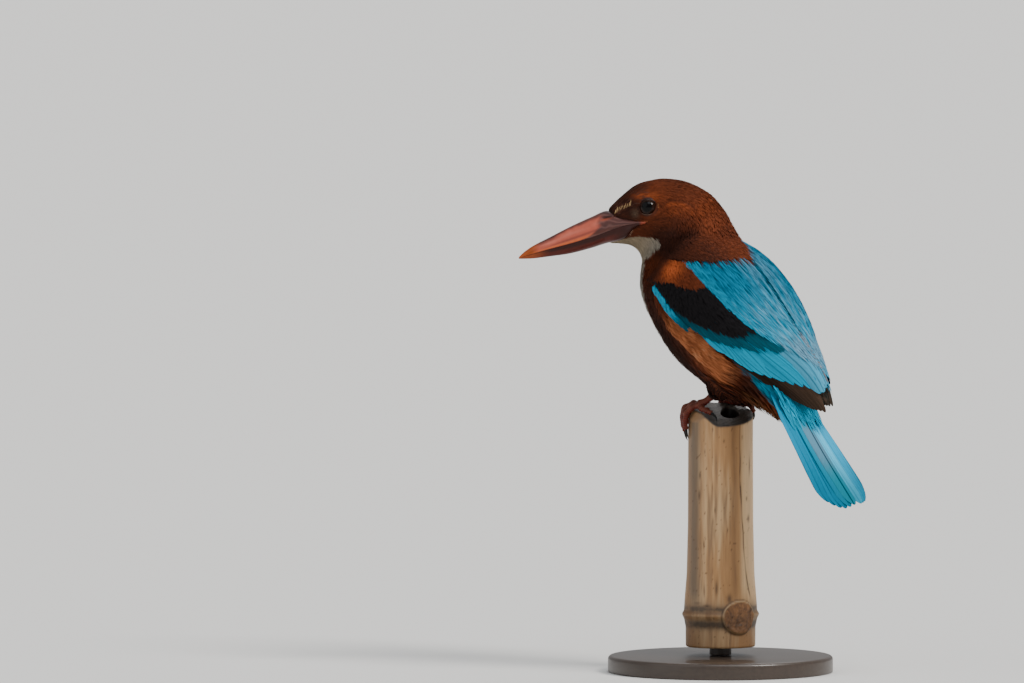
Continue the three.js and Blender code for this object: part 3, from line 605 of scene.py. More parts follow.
def bodyTint(station, angle):
    x, y, z, share = straightBody(station, angle)
    points = stack(x, y, z)
    fromBelly = np.degrees(np.pi - np.abs(angle))
    wobble = ripple(points, 2.2, 7)
    head = 1 - ease(station, 5.4, 7)

    def patch(atX, atZ, wide, high):
        return hill(x - atX, wide, z - atZ, high)

    crest = np.hypot((x + 31) / 12.5, (z - 106.5) / 9.8)  # 1 along the upper edge of the ear coverts
    above = head * ease(z, 105.5, 109) * ease(x, -37.5, -33)
    collarShade = np.clip(patch(-35, 97.5, 13.5, 9) + patch(-21, 90.5, 18, 7) + 0.6 * patch(-15, 97, 8, 6), 0, 1)
    low = between(station, 5.5, 8.5, 12, 14)
    lores = ease(-x, 46, 54) * between(z, 103, 107, 112, 119) * head
    flank = between(station, 8.6, 10, 15.8, 16.4)
    line = np.interp(station, [8.5, 11.3, 12.3, 13.4, 14.4, 15.2, 15.8], [76, 82, 79, 74, 68, 55, 32])
    loose = np.clip(0.75 + 0.35 * ripple(stack(station * 3, angle * 18, 0), 0.9, 11), 0, 1)
    trousers = between(station, 15.3, 16, 16.4, 17)
    colour = painted(
        palette["chestnut"], palette,
        ("russet", ease(ripple(points, 9, 1), -0.3, 1) * 0.25),
        # painted shade: the forehead and the front of the crown darker
        ("umber", 0.96 * head * ease(-x, 43, 56) * ease(z, 106, 113)),
        # painted highlight over the eye and behind it
        ("russet", head * np.clip(0.7 * patch(-49, 120, 6, 2) + 0.6 * patch(-41, 119.6, 6.5, 2.4), 0, 1)),
        # the ear coverts' pale crest, a painted highlight, with a dark line behind it, painted shadow
        ("russet", above * np.clip(0.75 * hill(crest - 0.98, 0.09) + 0.3 * (crest < 1), 0, 1)),
        ("umber", 0.5 * above * hill(crest - 1.15, 0.05)),
        ("umber", 0.6 * patch(-19.5, 106.4, 3.4, 1.3) + 0.4 * patch(-33, 107.5, 9, 1.6)),
        # painted light: behind the ear coverts the neck is painted brighter, and painted shade darkens it under the
        # cheek, round the collar and down the lower neck and breast
        ("russet", 0.45 * patch(-12, 110, 9, 10)),
        ("umber", 0.92 * collarShade),
        ("umber", 0.75 * low * between(fromBelly, 24, 40, 95, 130)),
        # dark lores and the bare greyish patch before the eye
        ("umber", 0.7 * lores),
        ("greyBrown", 0.8 * patch(-52.3, 110.2, 2.1, 2.4) * head),
        # flanks: a bright streak under the wing, painted highlight, with painted shade below it; dark belly, orange
        # vent
        ("umber", 0.9 * flank * (1 - ease(fromBelly, line - 34, line - 16))),
        ("flank", flank * ease(station, 9.4, 11.3) * loose * hill(fromBelly - line, 10)),
        ("umber", 0.85 * trousers * ease(fromBelly, 24, 40)),
        (palette["orange"] * 0.6, 0.8 * ease(station, 15.6, 16.8) * (1 - ease(fromBelly, 40, 62))),
    )
    # blue rump and its sides
    blueFrom = np.interp(station, [12, 13.5, 15, 16, 16.5, 17, 17.6, 19], [150, 118, 95, 86, 80, 70, 62, 52])
    rump = ease(fromBelly + 7 * ripple(points, 4, 3), blueFrom - 4, blueFrom + 4) * ease(station, 11.5, 12.5)
    blue = 0.56 * mix(palette["cyan"], palette["teal"], ease(ripple(points, 3, 5), -0.2, 0.9))
    # white throat and bib
    throat = ease(throatPatch["top"](x) - z + 0.5 * wobble, -0.3, 0.3) * (station < 6)
    throat = throat * ease(throatPatch["rear"](z) - x + 0.7 * wobble, -0.4, 0.4)
    bib = ease(throatPatch["bib"](station) - fromBelly + 4 * wobble, -2, 2) * (station > 4)
    cream = mix(palette["cream"], palette["white"], ease(station, 2, 7))
    cream = cream * (1.12 - 0.3 * ease(fromBelly, 20, 60) * (station > 5))[:, None]
    return painted(colour, palette, (blue, rump), (cream, np.maximum(throat, bib)))


# limits of the wing's colours: degrees from the ridge by millimetres along the wing, and the nape the other way
wingLimits = {
    "blackTop": straightTable([(-14, 90), (-5, 83), (5, 72.5), (13, 67.8), (21, 60.3), (24, 53.5), (26, 46), (62, 42)]),
    "blackLow": straightTable([(-8, 84), (-4, 86), (11, 86), (25, 83), (34, 80.5), (44.5, 75.5), (56, 68), (62, 51),
                               (65, 44)]),
    "scapular": straightTable([(-18, 38), (-3, 38), (0, 51), (2.5, 54.6), (12, 54.1), (23.5, 53.4), (37, 52.1),
                               (50.4, 51.7), (61.7, 50.2), (70, 43.2), (80, 36), (89, 24), (94, 3)]),
    # the turned head draws the nape's feathers forward on the right side
    "nape": {
        -1: straightTable([(-14, 18), (0, 20), (10, 18), (27, 17.5), (38, 14.8), (47, 8.7), (53.6, 2.2), (57.9, -2.7),
                           (63.3, -9.1), (71, -18)]),
        1: straightTable([(-14, 20), (0, 18), (8, 11), (20, 0), (30, -5), (45, -9), (60, -13), (75, -18)]),
    },
}


def wingTint(along, degrees, side):
    points = stack(along, degrees * 0.6, 0)
    wobble = ripple(points, 3.5, 2)
    streak = ripple(points * (0.2, 1, 1), 2.2, 4)
    blue = painted(
        palette["sky"], palette,
        ("cyan", 0.25 + 0.75 * ease(along + 8 * wobble, 22, 72)),
        ("slate", 0.35 * ease(streak, 0.1, 0.9)),
        ("sheen", 0.9 * ease(along, 34, 74) * (1 - ease(degrees, 38, 47)) * ease(0.5 - streak, -0.2, 0.9)),
        ("sheen", 0.4 * (1 - ease(degrees, 16, 26)) * ease(0.3 - streak, -0.2, 0.9)),
        (palette["cyan"] * 0.85, 0.6 * (1 - ease(along, -2, 12))),
        (palette["cyan"] * 0.85, 0.6 * ease(degrees, 44, 50)),
    )
    edge = wingLimits["blackLow"](along)
    behindBend = ease(along, -7, -4)
    black = (degrees > wingLimits["blackTop"](along))[..., None]
    # painted highlight in the middle of the chestnut shoulder patch
    shoulderHighlight = ease(wobble, -2.6, 0.2) * hill(along + 4, 9, degrees - 66, 9)
    lesser = mix(palette["chestnut"], palette["russet"] * 2.3, shoulderHighlight)
    lesser = mix(lesser, palette["umber"], 0.8 * ease(-along, 3, 12))
    colour = painted(
        np.where(black, palette["black"], lesser), palette,
        ("teal", ease(degrees + 1.2 * wobble, edge - 1, edge + 1) * behindBend),
        ("cyan", ease(degrees, edge + 1, edge + 4) * behindBend * (1 - ease(along, 8, 14))),
    )
    mantle = (degrees < wingLimits["scapular"](along)) | (along > 62) & (degrees < 70)
    # painted light and shade on the hood: brighter lower down at the front, darker lower down further back, going on
    # from the collar's painted shade
    shadeFrom = -18 - 9 * ease(degrees, 40, 56) + 4 * wobble
    nape = painted(
        palette["chestnut"], palette,
        ("russet", 0.45 * ease(degrees, 18, 36)),
        ("umber", 0.9 * ease(degrees, 10, 34) * ease(along, shadeFrom, shadeFrom + 10)),
    )
    colour = np.where(mantle[..., None], blue, colour)
    return np.where((along < wingLimits["nape"][side](degrees) + wobble)[..., None], nape, colour)


# ---- the skin, one closed surface under all the feathers
legSizes = {
    "toeRadius": 1.72, "clawRadius": 0.84, "shankRadius": 2.25,
    "left": {
        "shank": [(3.5, -9.6, 11.5), (0, -12.6, 7.9), (-3.4, -14.6, 5.4)],
        "hind": [(-3.4, -14.6, 5.2), (-0.9, -15.6, 3.7), (2.3, -15.3, 2.6), (5.4, -14.6, 1.1)],
        "hindClaw": [(8.2, -14.7, -0.9), (9.4, -14.9, -4)],
        "outer": [(-3.4, -14.6, 5.2), (-6.5, -16, 4.4), (-9.8, -17.2, 0.7), (-11.3, -16.8, -4.4), (-11.3, -16.3, -8.4)],
        "clawDrop": [(0.1, 0.7, -2.6), (0.5, 1.7, -5)],
        "beside": [(0, 0, 0), (-1.5, 1.8, 0.7), (-2.7, 1.9, 0.9), (-2.5, 1.9, 0), (-2.4, 2, -1.2)],
    },
    "right": {
        "shank": [(4.5, 9.6, 11.8), (3, 11.2, 8.6), (1.6, 12.2, 6)],
        "hind": [(1.6, 12.2, 5.8), (4.6, 14.2, 5.4), (7.4, 16.8, 4.4), (8.9, 18.2, 0.4)],
        "hindClaw": [(9, 18.2, -2), (8.5, 17.6, -4.2)],
        "outer": [(1.6, 12.2, 5.8), (-2.6, 14.6, 6.9), (-6.4, 17.4, 6.6), (-8.4, 19, 1.6), (-8.2, 18.4, -2.8)],
        "clawDrop": [(0.4, -0.6, -2.6), (0.9, -1.6, -4.8)],
        "beside": [(0, 0, 0), (-1.9, -1.2, 0.2), (-2.6, -0.9, 0.5), (-2.8, -0.9, 0), (-2.7, -0.8, -1)],
    },
}


def curveThrough(points, count):
    # evenly spaced places on a smooth line through a few points
    points = np.asarray(points, float)
    at = np.r_[0, np.cumsum(np.sqrt(np.linalg.norm(np.diff(points, axis=0), axis=1)))]
    line = smoothTable(np.c_[at, points])
    fine = line(np.linspace(0, at[-1], 200))
    reach = np.r_[0, np.cumsum(np.linalg.norm(np.diff(fine, axis=0), axis=1))]
    steps = np.interp(np.linspace(0, reach[-1], count), reach, np.arange(200))
    return stack(*[np.interp(steps, np.arange(200), fine[:, k]) for k in range(3)]), reach[-1]


def tubePlace(points, radius, count=80):
    # place(u, v) round a smooth line, radius(u, v) in mm, u = 0.25 on top
    line, length = curveThrough(points, count)
    ahead = unit(np.gradient(line, axis=0))
    across = unit(np.cross(ahead, np.cross(ahead, (0.1, 0.05, 1)) + 1e-9))
    up = unit(np.cross(ahead, np.cross(across, ahead)))
    over = unit(np.cross(up, ahead))

    def at(values, v):
        return stack(*[np.interp(v, np.linspace(0, 1, count), values[:, k]) for k in range(3)])

    def place(u, v):
        angle = 2 * np.pi * u
        side = at(up, v) * np.sin(angle)[:, None] + at(over, v) * np.cos(angle)[:, None]
        return at(line, v) + side * radius(u, v)[:, None]

    return place, length


def raised(point):
    return (point[0], point[1], rim + point[2])


def thighLine(side):
    ankle = np.array(raised(legSizes[side]["shank"][0]))
    below = np.array(raised(legSizes[side]["shank"][1]))
    out = math.copysign(1, ankle[1])
    if side == "left":
        return [ankle + (9, out * 4, 9), ankle + (3.5, out * 1.4, 2.5), ankle + (below - ankle) * 0.5 + (1.5, 0, 0)]
    return [ankle + (9, out * 4, 9), ankle + (4.5, out * 1.4, 1), ankle + (below - ankle) * 1.9 + (4, 0, 0)]


skinSizes = {
    "voxel": 0.85,
    # how deep the skin lies under the feathers, by station
    "depth": straightTable([(0, 0.35), (2, 0.6), (5, 1.1), (8, 1.9), (14, 2.1), (16, 3.6), (19, 3.6)]),
    "thighRadii": straightTable([(0, 8), (0.35, 8), (0.62, 7), (0.82, 5.4), (1, 2.8)]),
    # the pad under the coverts: start and length along the wing, lower limits in degrees, both depths
    "wingFrom": -13, "wingLong": 75, "wingLow": (86, 62), "wingDepth": 1.7, "wingInner": 9,
}


def skinBody(u, v):
    station, angle = lastStation * v, 2 * np.pi * u
    step = bodyGround["steps"][0]
    outward = surfaceFrame(onBody, np.clip(station, step, lastStation - step), angle, bodyGround["steps"])[2]
    x, y, z, share = straightBody(station, angle)
    inner = np.minimum(billEdges["upper"](x) - z, z - billEdges["lower"](x)) * (station < 4)
    bare = ease(inner, 0, 1) * ease(billEdges["gape"] - x, 0, 3)  # deeper behind the bill's base
    return onBody(station, angle) - outward * (skinSizes["depth"](station) + 1.3 * bare)[:, None]


def skinWing(u, v):
    # out along the pad's face for the first half of u, back inside for the second
    along = skinSizes["wingFrom"] + skinSizes["wingLong"] * v
    outer = 1 - np.abs(2 * u - 1)
    first, last = skinSizes["wingLow"]
    last = first - (first - last) * ease(along, 30, 62)
    degrees = 2 + (last - 2) * outer
    outward = surfaceFrame(onWing, along, degrees, (0.5, 0.5))[2]
    face = skinSizes["wingDepth"] * (1 + 1.2 * ease(degrees, last - 14, last))
    return onWing(along, degrees) - outward * np.where(u > 0.5, skinSizes["wingInner"], face)[:, None]


def makeSkin():
    parts = [wrap("skinBody", 72, 150, skinBody)]
    parts += [wrap("skinWing", 60, 60, lambda u, v: skinWing(u, v) * (1, side, 1)) for side in (1, -1)]
    for side in ("left", "right"):
        place = tubePlace(thighLine(side), lambda u, v: skinSizes["thighRadii"](v))[0]
        parts.append(wrap("skinThigh", 20, 16, place))
    rough = bpy.data.objects.new("roughSkin", joinMeshes("roughSkin", parts))
    bpy.context.scene.collection.objects.link(rough)
    blend = rough.modifiers.new("blend", "REMESH")
    blend.mode, blend.voxel_size = "VOXEL", skinSizes["voxel"] * mm
    calm = rough.modifiers.new("calm", "SMOOTH")
    calm.factor, calm.iterations = 0.5, 4
    ready = rough.evaluated_get(bpy.context.evaluated_depsgraph_get())
    mesh = bpy.data.meshes.new_from_object(ready)
    bpy.data.objects.remove(rough)
    mesh.name = "skin"
    return mesh


def tintSkin(mesh):
    # each point of the skin takes the colour of the nearest place with a known colour
    station, angle = gridOver((0, lastStation, 150), (-np.pi, np.pi, 120))
    spots, colours = [onBody(station, angle)], [bodyTint(station, angle)]
    along, degrees = gridOver((-14, 64, 80), (2, 88, 60))
    for side in (1, -1):
        spots.append(onWing(along, degrees) * (1, side, 1))
        colours.append(wingTint(along, degrees, side))
    for side in ("left", "right"):
        line = curveThrough(thighLine(side), 12)[0]
        around = ((5, 0, 0), (-5, 0, 0), (0, 5, 0), (0, -5, 0), (0, 0, -5))
        spots.append(np.concatenate([line + offset for offset in around]))
        colours.append(np.broadcast_to(palette["umber"], spots[-1].shape))
    tree = treeOf(np.concatenate(spots) * mm)
    nearest = [tree.find(vert.co)[1] for vert in mesh.vertices]
    addTint(mesh, np.concatenate(colours)[nearest] * 0.6)
    mesh.shade_smooth()


skin = makeSkin()
tintSkin(skin)
keep(skin, "skin", skinFinish, "chestnut_plumage", "head", "neck", "torso", "thigh_left", "thigh_right")
# ---- small feathers over the body
bodyFeathers = {
    "length": straightTable([(0, 2), (1, 2.4), (2.5, 3), (4.5, 4), (6.5, 5.4), (8, 7), (11, 9), (14, 10), (19, 11)]),
    "width": straightTable([(0, 0.36), (2, 0.42), (4, 0.5), (6, 0.68), (8, 0.9), (11, 1.05), (14, 1.3), (19, 1.5)]),
    "rowGap": 0.25,  # of the length
    "sideGap": 0.6,  # of the width
    "bands": {"face": (0.05, 2), "brow": (2, 3.2), "crown": (3.2, 4.6), "nape": (4.6, 6.6), "neck": (6.6, 9.2),
              "breast": (9.2, 12.5), "belly": (12.5, 18.3)},
}


def scatter(ground, aLimits, bLimits, length, slim, draw):
    # rows of jittered places over a ground, a feather's row gap and side gap apart
    places = []
    a = aLimits[0]
    ring = np.linspace(*bLimits, 400)
    while a < aLimits[1]:
        perA, perB = surfaceFrame(ground["surface"], np.full(400, a), ring, ground["steps"])[:2]
        size = length(a)
        gap = size * bodyFeathers["rowGap"] / np.percentile(perA, 85)
        reach = np.r_[0, np.cumsum(perB[1:] * np.diff(ring))]
        count = int(reach[-1] / (size * slim(a) * bodyFeathers["sideGap"]))
        at = (np.arange(count) + draw.uniform(0, 1, count)) * reach[-1] / max(count, 1)
        b = np.interp(at, reach, ring)
        density = np.interp(b, ring, perA) / np.percentile(perA, 85)
        chosen = draw.uniform(0, 1, count) < density
        places.append(np.c_[a + gap * draw.uniform(-0.5, 0.5, count), b][chosen])
        a += gap
    return np.concatenate(places)


def aroundEye(station, angle, reach=6.3):
    # feathers part round the eye as a stream round a stone: the turn away from straight back, in radians
    x, y, z, share = straightBody(station, angle)
    ahead = np.stack(straightBody(station + 0.05, angle)[:3:2], -1) - stack(x, z)
    aside = np.stack(straightBody(station, angle + 0.02)[:3:2], -1) - stack(x, z)
    ahead, aside = unit(ahead), unit(aside)
    aside = unit(aside - ahead * (aside * ahead).sum(-1, keepdims=True))
    away = stack(x - eyeSizes["x"], z - eyeSizes["height"])
    far = np.maximum(np.linalg.norm(away, axis=-1), reach)
    turn = np.arctan2((away * aside).sum(-1), (away * ahead).sum(-1))
    pull = (reach / far) ** 2
    return np.arctan2(-pull * np.sin(2 * turn), 1 - pull * np.cos(2 * turn)) * (np.abs(y) > 6) * (station < 6)


def bodyKeep(places, tips):
    eye = False
    for share in (0, 0.4, 0.8, 1):
        station, angle = (places + (tips - places) * share).T
        x, y, z, turn = straightBody(station, angle)
        wide, high = eyeSizes["opening"]
        away = np.hypot((x - eyeSizes["x"] + 0.4) / (wide + 0.5), (z - eyeSizes["height"]) / (high + 0.5))
        eye |= (away < 1) & (station < 6)
    station, angle = places.T
    x, y, z, turn = straightBody(station, angle)
    bill = (z < billEdges["upper"](x)) & (z > billEdges["lower"](x)) & (x < billEdges["gape"]) & (station < 4)
    return ~(eye | bill)


def underWing(points):
    # places that the folded wings cover
    x, z = points[:, 0] - wingSizes["start"][0], points[:, 2] - rim - wingSizes["start"][1]
    along, out = heading(x, z, -wingSizes["pitch"])
    low = wingTable(along)[:, 1]
    return (along > 2) & (along < 74) & (out > low + 5)


def makeBodyFeathers(name, limits, seed):
    draw = np.random.default_rng(seed)
    sizes = bodyFeathers
    slim = lambda station: sizes["width"](station) / sizes["length"](station)
    roots = scatter(bodyGround, limits, (-np.pi, np.pi), sizes["length"], slim, draw)
    roots = roots[~underWing(onBody(*roots.T))]
    count = len(roots)
    length = sizes["length"](roots[:, 0]) * draw.uniform(0.82, 1.2, count)
    width = sizes["width"](roots[:, 0]) * draw.uniform(0.8, 1.3, count)
    tips = tipsFrom(bodyGround, roots, length, aroundEye(*roots.T) + draw.normal(0, 0.11, count))
    tips[:, 0] = np.minimum(tips[:, 0], 18.9)
    chosen = bodyKeep(roots, tips)
    roots, tips, width, count = roots[chosen], tips[chosen], width[chosen], int(chosen.sum())
    station, fromBelly = roots[:, 0], np.pi - np.abs(roots[:, 1])
    depth = skinSizes["depth"](station)
    lift = np.c_[-depth - 0.25, 0.1 * depth * draw.uniform(-2.2, 1.6, count)]
    # lower beside the wing's lower part, higher where the neck laps over the wing's front
    lift[:, 1] -= 2 * ease(station, 13.6, 15.4) * ease(fromBelly, 0.9, 1.3)
    lapping = between(station, 4.6, 6, 8, 9) * ease(fromBelly, 1.2, 1.7)
    lift += 1.6 * lapping[:, None] * (1, 1.3)
    tint = bodyTint(*(roots * 0.35 + tips * 0.65).T)
    flow = stack(station * 2.2, roots[:, 1] * 15, 0)
    streak = (0.28 if limits[1] < 5 else 0.18) * (0.6 * ripple(flow, 1, 5) + 0.4 * ripple(flow, 0.45, 8))
    tint = tint * np.clip(1 + draw.normal(0, 0.12, count) + streak, 0.4, 1.8)[:, None]
    toward = None
    if 4.6 < limits[1] < 13:
        wingOut, away = nearestWing(onBody(*tips.T))[2:]
        toward = (wingOut, 0.5 * (1 - ease(away, 0, 10)) * (away > -4))
    form = "hair" if limits[1] <= 6.6 else "strand"
    block = layFeathers(bodyGround, form, roots, tips, width, lift, tint, seed, 0.08, rootShade=0.8, toward=toward)
    keep(featherMesh(name, [block]), name, softFeathers, "chestnut_plumage")


nearestWing = nearestOn(wingGround, (-16, 40), (2, 86), (1, -1))
for number, (band, limits) in enumerate(bodyFeathers["bands"].items()):
    makeBodyFeathers("feathers_" + band, limits, 11 + number)
print("body feathers laid")


# ---- small marks of the face and the loose edges of the flanks
def placeOnHead(x, z):
    # station and angle of a place on the left side of the straight head
    station, angle = gridOver((0.1, 6, 240), (-3.1, -0.05, 240))
    gridX, gridY, gridZ, share = straightBody(station, angle)
    near = np.argmin((gridX - x) ** 2 + (gridZ - z) ** 2)
    return np.array([station[near], angle[near]])


faceMarks = [
    # from and to of a run of tufts, count, each tuft's lean and length, width, colour
    ((-63.2, 110), (-54.9, 114.4), 10, (0.75, 2.9), 0.5, palette["buff"] * 1.2),  # the pale line over the lores
    ((-62.7, 110.6), (-54.4, 114.9), 9, (0.7, 2.3), 0.4, palette["umber"]),
    ((-47.4, 105.6), (-46.4, 105.8), 3, (0.8, 0.2), 0.5, np.array((0.26, 0.070, 0.030))),  # the mouth's corner
    ((-55.4, 98.8), (-54.2, 101), 5, (1, -0.6), 0.4, np.array((0.30, 0.170, 0.110))),
    ((-40.4, 115.6), (-40.2, 114), 3, (1.2, -0.5), 0.35, np.array((0.28, 0.110, 0.042))),  # behind the eye
    ((-41.3, 103), (-36.6, 100.6), 3, (0.6, -0.5), 0.3, np.array((0.17, 0.070, 0.040))),
]


def faceTufts(side, seed):
    draw = np.random.default_rng(seed)
    roots, tips, width, tint = [], [], [], []
    for start, end, count, (leanX, leanZ), wide, colour in faceMarks:
        for at in np.linspace(0, 1, count):
            x, z = np.array(start) + (np.array(end) - start) * at + draw.normal(0, 0.12, 2)
            roots.append(placeOnHead(x, z))
            tips.append(placeOnHead(x + leanX, z + leanZ * draw.uniform(0.85, 1.15)))
            width.append(wide)
            tint.append(colour * draw.uniform(0.8, 1.2))
    for number in range(130):  # pale hairs of the forehead
        root = np.array([draw.uniform(0.3, 2.6), -draw.uniform(0.35, 1.25)])
        roots.append(root)
        tips.append(root + (draw.uniform(0.28, 0.45), draw.normal(0, 0.02)))
        width.append(0.3)
        tint.append(mix(palette["chestnut"], palette["pinkish"], draw.uniform(0, 0.3)) * 0.5)
    roots, tips = np.array(roots) * (1, -side), np.array(tips) * (1, -side)
    lift = np.tile([-0.1, 0.25], (len(roots), 1))
    return layFeathers(bodyGround, "strand", roots, tips, width, lift, np.array(tint), seed, rootShade=0.7)


def flankFringe(side, seed):
    # loose flank feathers that lap over the folded wing's lower edge
    draw = np.random.default_rng(seed)
    count = 1500
    along = draw.uniform(-6, 64, count)
    station = np.interp(along, [-6, 6, 18, 30, 42, 64], [8.4, 9.6, 10.9, 12.1, 13.2, 15.1])
    fromBelly = np.radians(88 - draw.uniform(0, 22, count))
    roots = stack(station, side * (np.pi - fromBelly))
    length = draw.uniform(6, 10, count)
    turn = draw.normal(0.24, 0.12, count) + 0.11 * between(along, 8, 18, 34, 46)
    tips = tipsFrom(bodyGround, roots, length, -side * turn)
    lift = stack(0.2, draw.uniform(0.6, 2.6, count))
    patchy = ripple(stack(station * 3, roots[:, 1] * 14, 0), 1.2, 6)
    flankHighlight = np.clip(0.75 + 0.4 * patchy + draw.normal(0, 0.12, count), 0, 1) * ease(station, 9.4, 11)
    pale = ease(patchy, 0.1, 0.8) * (draw.uniform(0, 1, count) < 0.5) * ease(station, 11.5, 12.2)
    front = (station < 9.6) * (fromBelly > np.radians(80)) * (draw.uniform(0, 1, count) < 0.6)
    # painted highlight: the bright flank colour and the pale peach patches
    tint = painted(
        palette["chestnut"], palette,
        ("flank", flankHighlight),
        ("umber", 0.7 * ease(station, 14.2, 15.1)),
        ("peach", 0.5 * pale * (1 - ease(station, 13.4, 14))),
        ("peach", 0.75 * front),
    )
    width = draw.uniform(0.5, 0.9, count)
    return layFeathers(bodyGround, "strand", roots, tips, width, lift, tint, seed, rootShade=0.8)


def looseBelly(seed):
    # feathers that hang free under the belly, over the thighs and between them
    draw = np.random.default_rng(seed)
    count = 1100
    fromBelly = np.radians(draw.uniform(-52, 52, count))
    station = draw.uniform(13.3, 16.1, count)
    roots = stack(station, (2 * np.pi - fromBelly) % (2 * np.pi) - np.pi)
    perA, perB = surfaceFrame(onBody, *roots.T, bodyGround["steps"])[:2]
    length = draw.uniform(8, 14, count)
    tips = roots + np.c_[length / perA, length * draw.normal(0, 0.08, count) / perB]
    reach = np.interp(station, [13.3, 14.2, 14.8, 15.3, 16.1], [0.6, 1.8, 6, 5, 1])
    reach = reach * draw.uniform(0.1, 1, count) * (1 - 0.5 * ease(np.abs(fromBelly), 0.5, 1.1))
    tint = painted(
        palette["umber"], palette,
        ("russet", 0.35 * (draw.uniform(0, 1, count) < 0.3)),
        (palette["orange"] * 0.6, 0.6 * ease(station, 15.3, 16.1)),
    )
    tint = tint * (1 + draw.normal(0, 0.15, (count, 1)))
    width, lift = draw.uniform(0.5, 0.9, count), stack(-0.4, reach)
    return layFeathers(bodyGround, "strand", roots, tips, width, lift, tint, seed, rootShade=0.8)


marks = [faceTufts(-1, 60), faceTufts(1, 61), flankFringe(-1, 62), flankFringe(1, 63), looseBelly(64)]
keep(featherMesh("feathers_marks", marks), "feathers_marks", softFeathers, "chestnut_plumage")


# ---- wings
wingFeathers = {
    # count, roots and tips as lines of (along in mm, degrees from the ridge), the lowest feather first,
    # width, lift of the lowest feather, how much each next one lies over it, how much the roots lie deeper,
    # how much shorter the right wing's are
    "primaries": {
        "count": 8, "roots": [(44, 86), (48, 78), (52, 70)],
        "tips": [(93, 88.5), (102, 85), (108, 79), (111.5, 71), (115, 58)],
        "width": 6.2, "lift": -1.6, "stack": 0.1, "deeper": 3, "far": 3,
    },
    "secondaries": {
        "count": 13, "roots": [(22, 74), (34, 68), (46, 50)],
        "tips": [(57.5, 86.5), (71, 88), (82, 81), (94, 68), (103, 50), (104.5, 42)],
        "width": 6, "lift": -1.3, "stack": 0.07, "deeper": 2.6, "far": 5,
    },
    "tertials": {
        "count": 5, "roots": [(44, 46), (44, 30), (44, 12)], "tips": [(106, 42), (107, 28), (105, 14), (100, 4)],
        "width": 9, "lift": -0.4, "stack": 0.1, "deeper": 2, "far": 6,
    },
    "greater": {
        "count": 20, "roots": [(-3, 82), (6, 79), (26, 69), (50, 43)],
        "tips": [(9, 85.5), (20, 86.5), (32, 87), (47, 85), (55, 81), (63, 73), (71.5, 62), (77, 51), (78, 44)],
        "width": 6, "lift": -1.1, "stack": 0.045, "deeper": 2.4, "far": 0,
    },
}
coverts = {
    # along and degrees limits, length and its spread, slimness, lift of the root and of the tip
    "black": ((-8, 62), (40, 88), 7.5, 0.16, -1.3, 0.1),
    "bend": ((-6, 30), (86, 91), 5.5, 0.15, -0.8, 0.2),
    "lesser": ((-18, 30), (44, 90), 5.5, 0.13, -1.1, 0.1),
    "scapular": ((-6, 92), (-1, 58), 18, 0.05, -1.2, 0.3),
    "hood": ((-17, 22), (-1, 80), 5.2, 0.1, -0.4, 0.6),
}
nearestBody = nearestOn(bodyGround, (4, 12), (-np.pi, np.pi))


def alongLine(points, count):
    points = np.array(points, float)
    at, known = np.linspace(0, 1, count), np.linspace(0, 1, len(points))
    return stack(*(np.interp(at, known, points[:, k]) for k in range(2)))


def bandShade(edge, middle, inner, fine=0.12, rimFrom=0.8):
    # darker towards a vane's hidden side and along its shaft; at its very edge a painted shadow line where it lies over
    # the next vane, and with a negative edge a paler edge instead
    def shade(across, along):
        value = 1 - inner * ease(-across, -0.1, 0.9) - middle * hill(across, fine)
        return (value - edge * ease(across, rimFrom, 1))[:, None] * np.ones(3)

    return shade


def wingRow(key, side, tint, shade, seed, form="flight", camber=0.06, paleUnder=1.0):
    row = wingFeathers[key]
    count = row["count"]
    draw = np.random.default_rng(seed)
    stray = np.c_[draw.normal(0, 0.4, count) - row["far"] * (side > 0), draw.normal(0, 0.3, count)]
    lift = row["lift"] + row["stack"] * np.arange(count)
    lifts = np.c_[lift - row["deeper"], lift + draw.normal(0, 0.05, count)]
    width = row["width"] * draw.uniform(0.95, 1.08, count)
    colours = tint * (1 + draw.normal(0, 0.07, (count, 1)))
    return layFeathers(wingGround, form, alongLine(row["roots"], count), alongLine(row["tips"], count) + stray, width,
                       lifts, colours, seed, camber, shade, paleUnder=paleUnder)


